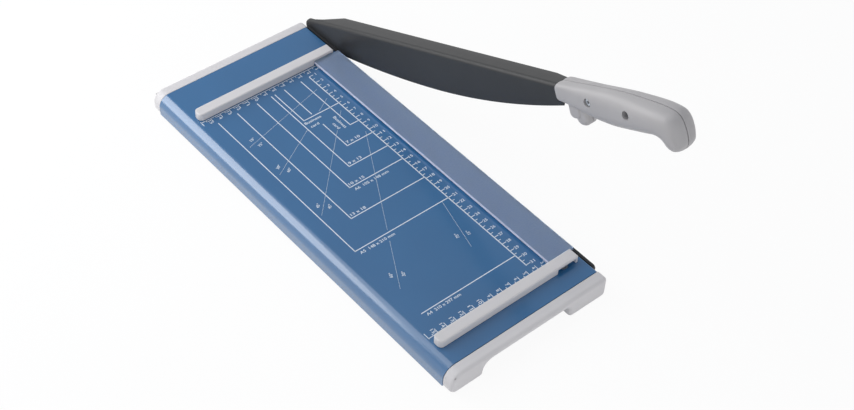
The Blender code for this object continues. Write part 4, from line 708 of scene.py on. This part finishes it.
# Springs: one of plated wire round each guide pin, in its cup.  The guard squeezes them as it goes
# down, and they lift it again when the hand lets go.
SPRING_COIL, SPRING_WIRE, SPRING_TURNS = 2.3, 0.3, 5.0
SPRING_FOOT, SPRING_TOP, SPRING_EASE = 14.94, 23.86, 0.35


def coil(centre_x, centre_y):
    """A wire's circle carried round a helix, whose rise eases in and out by a sine, so that its end
    turns lie flat."""
    t = np.linspace(0.0, 1.0, 200)
    turn = 2.0 * np.pi * SPRING_TURNS * t
    ease = t - np.sin(2.0 * np.pi * t) / (2.0 * np.pi) * SPRING_EASE
    rise = SPRING_FOOT + SPRING_WIRE + (SPRING_TOP - SPRING_FOOT - 2.0 * SPRING_WIRE) * ease
    round_wire = np.linspace(0.0, 2.0 * np.pi, 12, endpoint=False)[None]
    reach = SPRING_COIL + SPRING_WIRE * np.cos(round_wire)
    x = centre_x + reach * np.cos(turn)[:, None]
    y = centre_y + reach * np.sin(turn)[:, None]
    z = rise[:, None] + SPRING_WIRE * np.sin(round_wire)
    return through_rings(np.stack(np.broadcast_arrays(x, y, z), axis=-1))


for end, middle in zip(("front", "rear"), FENCE_MIDDLES):
    spring = made(f"{end}_coil_spring", [coil(CUP_X, middle)], zinc)
    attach(spring, "table")
    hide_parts(f"guard_spring_{end}")
    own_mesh(spring)


# Guard: a strip of clear plastic with a frosted face, which floats on two springs over the cut's
# ruler.  A tongue at each end slides in a fence's notch, so that a hand can press it on the paper.
GUARD_LEFT, GUARD_RIGHT, TONGUE_RIGHT = -31.6, -3.4, -11.3
GUARD_LOW, GUARD_HIGH, GUARD_EDGE = 24.2, 27.0, 0.5
GUARD_FRONT, GUARD_REAR = -323.2, -0.3
TONGUE_FRONT, TONGUE_REAR = -332.5, 9.0
GUARD_ROUND, TONGUE_ROUND, INNER_ROUND = 1.2, 1.0, 0.8
GUIDE_HOLE = 1.9


def frosted_finish(name, colour, milky_colour, clear):
    """Frosted polycarbonate: light passes through blurred by the fine grain of its face, and a milky
    share scatters it, in a mottle 1.5 mm wide."""
    return patterned_finish(name, linear(milky_colour), linear(colour), (1.5, 2.0),
                            {"Transmission Weight": clear, "IOR": 1.42}, (1.5, 2.0, 0.26, 0.34))


strip = [(GUARD_LEFT, TONGUE_FRONT, TONGUE_ROUND), (TONGUE_RIGHT, TONGUE_FRONT, TONGUE_ROUND),
         (TONGUE_RIGHT, GUARD_FRONT, INNER_ROUND), (GUARD_RIGHT, GUARD_FRONT, GUARD_ROUND),
         (GUARD_RIGHT, GUARD_REAR, GUARD_ROUND), (TONGUE_RIGHT, GUARD_REAR, INNER_ROUND),
         (TONGUE_RIGHT, TONGUE_REAR, TONGUE_ROUND), (GUARD_LEFT, TONGUE_REAR, TONGUE_ROUND)]
frosted = frosted_finish("frosted_polycarbonate", "#DCEAFC", "#B9D2F0", 0.79)
sawn_edge_and_highlight = frosted_finish("sawn_polycarbonate_edge_and_painted_highlight", "#EDEDFC", "#DCDCF2", 0.25)
guard = made("clear_guard", [block(strip, GUARD_LOW, GUARD_HIGH, "z", GUARD_EDGE)], frosted)
guide_profile = [(GUIDE_HOLE, GUARD_LOW - OVERRUN), (GUIDE_HOLE, GUARD_HIGH + OVERRUN)]
carve(guard, [spun(guide_profile, (CUP_X, middle, 0.0), "z", 40) for middle in FENCE_MIDDLES])
# Only the faces turned to the left get the whiter, less clear finish: partly a real sawn edge, partly a
# painted highlight where that side catches the light.
guard.data.materials.append(sawn_edge_and_highlight)
left_faces_highlighted = values_of(guard.data.polygons, "normal", 3)[:, 0] < -0.6
guard.data.polygons.foreach_set("material_index", left_faces_highlighted.astype(np.int32))
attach(guard, "guard")
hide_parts("press_guard")


# Blade arm: one strip of 2.2 mm steel, folded to an angle whose long web is the blade, with a curved
# cutting edge ground on its outer side.  It swings on a shoulder bolt at the rear right corner.
PIVOT_BACK, PIVOT_HEIGHT = 27.0, 12.0
BLADE_LEFT, ARM_STEEL, ARM_FRONT, RIDGE = 0.3, 2.2, 348.1, 25.7
FOLD_OUTER, FOLD_INNER = 3.5, 1.3
HEEL_BACK, HEEL_UP, HEEL_RADIUS = -13.3, 16.7, 9.0
LOBE_RADIUS, LOBE_LEAVES, BELLY_STARTS = 11.0, 10.5, 13.0
HEEL_TANGENT, LOBE_TANGENT = (-19.79, 10.46), (-7.93, -7.63)
BELLY_AT, BELLY_DROP = 166.1, 38.1
BELLY_REAR_RADIUS, BELLY_FRONT_RADIUS = 1240.0, 800.0
GRIND_START, GRIND_RUNOUT, GRIND_HEIGHT, GRIND_LAND = 30.0, 25.0, 4.5, 0.5
FLANGE_STATIONS = (-22.3, -17.5, -13.3, -6.5, 2.75, 24.0, 326.1, 348.1)
FLANGE_EDGES = (2.51, 2.55, 2.9, 2.9, 6.0, 16.9, 16.9, 13.5)
FLANGE_ROUND, WEB_STRIP = 0.25, 0.4
ARC_MIDDLE = 0.29  # how far a quarter circle's middle stays off its corner's sides, by its radius
# Rows of the mesh along the arm: the start, the end and the count of each run.
ARM_ROWS = ((-12.0, 30.0, 43), (32.0, 326.1, 74), (330.0, ARM_FRONT, 6))


def on_arm(places):
    """Turn (across, forward, up) along the arm at rest to the cutter's own axes."""
    across, forward, up = np.moveaxis(places, -1, 0)
    cosine, sine = math.cos(REST_ANGLE), math.sin(REST_ANGLE)
    return np.stack((across, PIVOT_BACK - forward * cosine + up * sine,
                     PIVOT_HEIGHT + forward * sine + up * cosine), axis=-1)


def cutting_edge(forward):
    """Height of the cutting edge: two long arcs, each its run squared over twice its radius."""
    past = forward - BELLY_AT
    radius = np.where(past > 0.0, BELLY_FRONT_RADIUS, BELLY_REAR_RADIUS)
    return RIDGE - BELLY_DROP + past ** 2 / (2.0 * radius)


def arm_low(forward):
    """Lower edge of the web: round the heel, straight to the lobe, round the lobe, then the belly."""
    heel = HEEL_UP - np.sqrt(np.maximum(HEEL_RADIUS ** 2 - (forward - HEEL_BACK) ** 2, 0.0))
    line = np.interp(forward, (HEEL_TANGENT[0], LOBE_TANGENT[0]), (HEEL_TANGENT[1], LOBE_TANGENT[1]))
    lobe = -np.sqrt(np.maximum(LOBE_RADIUS ** 2 - forward ** 2, 0.0))
    belly = cutting_edge(np.maximum(forward, BELLY_STARTS))
    leaving = np.interp(forward, (LOBE_LEAVES, BELLY_STARTS), (0.0, 1.0))
    lobe_end = -math.sqrt(LOBE_RADIUS ** 2 - LOBE_LEAVES ** 2)
    front = lobe_end + (belly - lobe_end) * leaving
    return np.select((forward < HEEL_TANGENT[0], forward < LOBE_TANGENT[0], forward < LOBE_LEAVES),
                     (heel, line, lobe), front)


def arm_high(forward):
    """Upper edge: the ridge, with a quarter circle down to the heel."""
    back = np.maximum(HEEL_RADIUS ** 2 - np.minimum(forward - HEEL_BACK, 0.0) ** 2, 0.0)
    return HEEL_UP + np.sqrt(back) + (RIDGE - HEEL_UP - HEEL_RADIUS)


def folded_arm():
    """The angle section at every station: up the left face, round the fold's outer arc, along the
    flange, back under it, round the inner arc, down the outer face and along the ground bevel."""
    heel = HEEL_BACK - HEEL_RADIUS * np.cos(np.linspace(0.0, np.pi / 2.0, 14))
    forward = np.concatenate((heel, *(np.linspace(*rows) for rows in ARM_ROWS)))
    edge = np.interp(forward, FLANGE_STATIONS, FLANGE_EDGES)[:, None]
    low, high = arm_low(forward)[:, None], arm_high(forward)[:, None]
    centre_x, centre_up = BLADE_LEFT + FOLD_OUTER, RIDGE - FOLD_OUTER
    t = np.linspace(0.0, 1.0, 10)[None]

    outer_turn = np.arccos(np.clip((centre_x - edge) / FOLD_OUTER, 0.0, 1.0))
    inner_turn = np.arccos(np.clip((centre_x - edge) / FOLD_INNER, 0.0, 1.0))
    outer_x = centre_x - FOLD_OUTER * np.cos(outer_turn * t)
    outer_up = centre_up + FOLD_OUTER * np.sin(outer_turn * t)
    inner_x = centre_x - FOLD_INNER * np.cos(inner_turn * (1.0 - t))
    inner_up = centre_up + FOLD_INNER * np.sin(inner_turn * (1.0 - t))
    flat_x = np.maximum(edge, centre_x)
    thick = np.minimum(edge - centre_x, FLANGE_ROUND).clip(0.0)
    run_x = np.concatenate((centre_x + (flat_x - thick - centre_x) * np.array([[0.02, 0.5, 0.98]]),
                            flat_x - thick * ARC_MIDDLE, flat_x), axis=1)
    run_x = np.minimum(run_x, edge)
    run_up = np.concatenate((np.full((len(forward), 3), RIDGE), RIDGE - thick * ARC_MIDDLE,
                             RIDGE - thick), axis=1)
    run_up = np.where(edge < centre_x, outer_up[:, -1:], run_up)
    under_up = np.where(edge < centre_x, inner_up[:, :1], 2.0 * RIDGE - ARM_STEEL - run_up[:, ::-1])

    ground = np.clip((forward - GRIND_START) / GRIND_RUNOUT, 0.0, 1.0)[:, None]
    land = BLADE_LEFT + ARM_STEEL - (ARM_STEEL - GRIND_LAND) * ground
    bevel_top = low + GRIND_HEIGHT * ground
    left, right = np.full_like(edge, BLADE_LEFT), np.full_like(edge, BLADE_LEFT + ARM_STEEL)
    across = np.concatenate((left, left, outer_x, run_x, run_x[:, ::-1], inner_x, right, right, land),
                            axis=1)
    up = np.concatenate((low, low + WEB_STRIP, outer_up, run_up, under_up, inner_up,
                         bevel_top + WEB_STRIP, bevel_top, low), axis=1)
    up = np.clip(up, low, high)
    along = np.broadcast_to(forward[:, None], across.shape)
    return through_rings(on_arm(np.stack((across, along, up), axis=-1)))


TANG_BACK, TANG_NECK, TANG_WIDEST, TANG_FRONT = 341.0, 366.0, 379.6, 459.1
TANG_TOP, TANG_NECK_LOW, TANG_LOW = RIDGE - 3.3, RIDGE - 15.0, RIDGE - 16.9
TANG = [(TANG_BACK, TANG_NECK_LOW, 0.5), (TANG_NECK, TANG_NECK_LOW, 0.5), (TANG_WIDEST, TANG_LOW, 0.5),
        (TANG_FRONT, TANG_LOW, 6.0), (TANG_FRONT, TANG_TOP, 6.0), (TANG_BACK, TANG_TOP, 0.5)]
tang_points, tang_faces = block(TANG, BLADE_LEFT, BLADE_LEFT + ARM_STEEL, "x", 0.2)
arm = made("folded_arm", [folded_arm(), (on_arm(tang_points), tang_faces)], black_oxide)


def on_bevel(mesh):
    """Faces whose outward side leans down and to the right, as only the ground bevel does, on the web
    and well below the fold."""
    facing, middle = values_of(mesh.polygons, "normal", 3), values_of(mesh.polygons, "center", 3)
    across, back, up = ((middle - home) / MM).T
    down = -(facing[:, 1] * math.sin(REST_ANGLE) + facing[:, 2] * math.cos(REST_ANGLE))
    rise = (back - PIVOT_BACK) * math.sin(REST_ANGLE) + (up - PIVOT_HEIGHT) * math.cos(REST_ANGLE)
    on_web = (across < BLADE_LEFT + ARM_STEEL + 0.5) & (rise < RIDGE - 8.0)
    return (down > 0.15) & (facing[:, 0] > 0.5) & on_web


ground_steel = metal_finish("ground_steel", "#B9BCC0", 0.26, 0.3, (1.0, 0.06, 0.06))
arm.data.materials.append(ground_steel)
arm.data.polygons.foreach_set("material_index", on_bevel(arm.data).astype(np.int32))
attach(arm, "arm")
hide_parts("blade_arm")

refinish(zinc, "pivot_bolt", "pivot_washer", "pivot_nut", "pivot_wave_washer")


# Handle: two hollow halves of the caps' grey ABS, coloured a darker grey as painted shade, which clasp the
# arm's tang and meet on an upright seam.
# It swells towards its hooked end, has a nub in front for the finger, and two screws hold it.
HANDLE_FRONT, HANDLE_LENGTH = 340.6, 134.5
HANDLE_DEPTH, HANDLE_WIDTH = 30.0, 28.4
SEAM, SEAM_GAP, SEAM_OPENS = 8.3, 0.45, 0.45
SEAM_ROUND, SEAM_SINK = 0.7, 0.4
# The lower left side stays clear of the table's edge when the arm is down: how far across it keeps, up
# to which height and along which length, and over how much of each it eases off.
CLEAR_ACROSS, CLEAR_TOP, CLEAR_LENGTH = 0.6, RIDGE - 18.5, 64.0
CLEAR_TOP_EASE, CLEAR_LENGTH_EASE = 2.0, 6.0

# Stations, front to back: the top and the bottom point of each section, along the handle and above the
# ridge as shares of its length and depth, then its width as a share, and how square it is.
STATIONS = np.array((
    (0.005, -0.020, 0.008, -0.470, 0.630, 5.0),
    (0.022, 0.030, 0.024, -0.505, 0.660, 5.0),
    (0.063, 0.050, 0.070, -0.530, 0.668, 4.6),
    (0.167, 0.073, 0.174, -0.640, 0.680, 3.8),
    (0.256, 0.100, 0.256, -0.740, 0.700, 3.2),
    (0.337, 0.117, 0.337, -0.808, 0.730, 2.9),
    (0.463, 0.143, 0.463, -0.855, 0.790, 2.7),
    (0.581, 0.147, 0.576, -0.825, 0.890, 2.6),
    (0.663, 0.127, 0.662, -0.790, 0.950, 2.6),
    (0.737, 0.107, 0.740, -0.760, 0.985, 2.6),
    (0.819, 0.077, 0.805, -0.735, 1.000, 2.6),
    (0.885, 0.033, 0.838, -0.765, 1.000, 2.6),
    (0.941, -0.040, 0.857, -0.830, 0.990, 2.6),
    (0.975, -0.200, 0.867, -0.905, 0.965, 2.5),
    (0.990, -0.430, 0.878, -0.980, 0.920, 2.5),
    (0.995, -0.640, 0.893, -1.035, 0.850, 2.4),
    (0.991, -0.840, 0.915, -1.065, 0.740, 2.3),
    (0.972, -0.985, 0.940, -1.060, 0.500, 2.2),
    (0.964, -1.035, 0.950, -1.066, 0.200, 2.0),
))
SCREW_PLACES = ((0.283, -0.270), (0.620, -0.265))
HANDLE_SCREW = (3.2, 0.1, 1.6, 1.7, 12.9)
BORE, BORE_START, BORE_FLOOR = 3.8, -20.0, 2.2

# The nub's lobes under the grip: their rear and front end as shares of the handle's length, how deep
# they hang as a share of its depth, and their corners' radius, then the sides and how round each is.
SMALL_LOBE, LARGE_LOBE = (0.080, 0.175, 0.930, 5.0), (0.118, 0.226, 1.120, 6.6)
SMALL_SIDES, SMALL_ROUNDS = (0.85, 5.2), (2.2, 1.4)
LEFT_SIDES, LEFT_ROUNDS = (1.9, SEAM - SEAM_GAP / 2.0), (3.6, 0.4)
RIGHT_SIDES, RIGHT_ROUNDS = (SEAM + SEAM_GAP / 2.0, 14.2), (0.4, 3.0)
LOBE_ROOT = RIDGE - 11.0


def between_stations(stations, count):
    """Stations joined by cubics whose slope at each one is half the step between its neighbours."""
    padded = np.concatenate((2.0 * stations[:1] - stations[1:2], stations,
                             2.0 * stations[-1:] - stations[-2:-1]))
    t = np.linspace(0.0, len(stations) - 1.0, count)
    index = np.minimum(t.astype(int), len(stations) - 2)
    t = (t - index)[:, None]
    before, start, end, after = (padded[index + shift] for shift in range(4))
    return 0.5 * (2.0 * start + (end - before) * t
                  + (2.0 * before - 5.0 * start + 4.0 * end - after) * t ** 2
                  + (3.0 * start - before - 3.0 * end + after) * t ** 3)


def handle_half(side):
    """Half of a superellipse at every station, standing on the line from its bottom to its top point:
    its side and rise are powers of cosine and sine.  Near the seam it sinks to a rounded edge."""
    station = between_stations(STATIONS, 110)
    top, low = (np.stack((HANDLE_FRONT + station[:, at] * HANDLE_LENGTH,
                          RIDGE + station[:, at + 1] * HANDLE_DEPTH), axis=-1) for at in (0, 2))
    middle, up = (top + low) / 2.0, (top - low) / 2.0
    half_width = station[:, 4:5] * HANDLE_WIDTH / 2.0
    power = 2.0 / station[:, 5:6]
    angle = np.linspace(np.pi / 2.0, -np.pi / 2.0, 61)[None]
    out = half_width * np.abs(np.cos(angle)) ** power
    rise = np.sign(np.sin(angle)) * np.abs(np.sin(angle)) ** power
    reach = np.linalg.norm(up, axis=1, keepdims=True)
    sink = SEAM_SINK * np.clip(1.0 - out / SEAM_ROUND, 0.0, 1.0) ** 2
    rise = rise * (1.0 - sink / reach)
    gap = SEAM_GAP + SEAM_OPENS * np.linspace(0.0, 1.0, len(station))[:, None] ** 3
    across = SEAM + side * np.maximum(out, gap / 2.0)
    place = middle[:, None] + up[:, None] * rise[..., None]
    forward, height = place[..., 0], place[..., 1]
    if side < 0:
        below = np.clip((CLEAR_TOP - height) / CLEAR_TOP_EASE, 0.0, 1.0)
        ahead = np.clip((HANDLE_FRONT + CLEAR_LENGTH - forward) / CLEAR_LENGTH_EASE, 0.0, 1.0)
        across = across + (np.maximum(across, CLEAR_ACROSS) - across) * below * ahead
    return through_rings(on_arm(np.stack((across, forward, height), axis=-1)))


def nub(sides, rounds, lobe):
    """A lobe of the nub: a rounded block from one side to the other, rounded by its own radius at each."""
    back, front, depth, corner = lobe
    near, far = HANDLE_FRONT + back * HANDLE_LENGTH, HANDLE_FRONT + front * HANDLE_LENGTH
    floor_up = RIDGE - depth * HANDLE_DEPTH
    side = [(near, floor_up, corner), (far, floor_up, corner), (far, LOBE_ROOT, 0.5),
            (near, LOBE_ROOT, 0.5)]
    points, faces = block(side, *sides, "x", *rounds, 9)
    return on_arm(points), faces


def screw_place(along, rise):
    """Where a handle screw stands on the arm, from its shares of the handle's length and depth."""
    return 0.0, HANDLE_FRONT + along * HANDLE_LENGTH, RIDGE + rise * HANDLE_DEPTH


# The handle takes the caps' grey ABS darkened: painted shade, not a plastic of its own.
handle_abs_painted_shade = moulded_finish("moulded_abs_grey_painted_shade", "#B0AEAF", "#A8A6A7", 0.44)
left_half = made("handle_left_half", [handle_half(-1.0)], handle_abs_painted_shade, edge_angle=40.0)
bores = []
for place in SCREW_PLACES:
    points, faces = spun([(BORE, BORE_START), (BORE, BORE_FLOOR)], screw_place(*place), "x", 48)
    bores.append((on_arm(points), faces))
carve(left_half, bores, edge_angle=40.0)
left_lobes = [nub(SMALL_SIDES, SMALL_ROUNDS, SMALL_LOBE), nub(LEFT_SIDES, LEFT_ROUNDS, LARGE_LOBE)]
left_nub = made("handle_left_nub", left_lobes, handle_abs_painted_shade, edge_angle=40.0)
right_lobe = nub(RIGHT_SIDES, RIGHT_ROUNDS, LARGE_LOBE)
right_half = made("handle_right_half", [handle_half(1.0), right_lobe], handle_abs_painted_shade, edge_angle=40.0)
for piece in (left_half, left_nub, right_half):
    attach(piece, "arm")
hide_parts("handle_left")
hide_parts("handle_left")
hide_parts("handle_right")
for number, place in enumerate(SCREW_PLACES, 1):
    points, faces = screw(screw_place(*place), -1.0, HANDLE_SCREW, 0.3)
    handle_screw = made(f"handle_joining_screw_{number}", [(on_arm(points), faces)], zinc)
    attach(handle_screw, "arm")
    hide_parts(f"handle_screw_{number}")


bpy.context.view_layer.update()
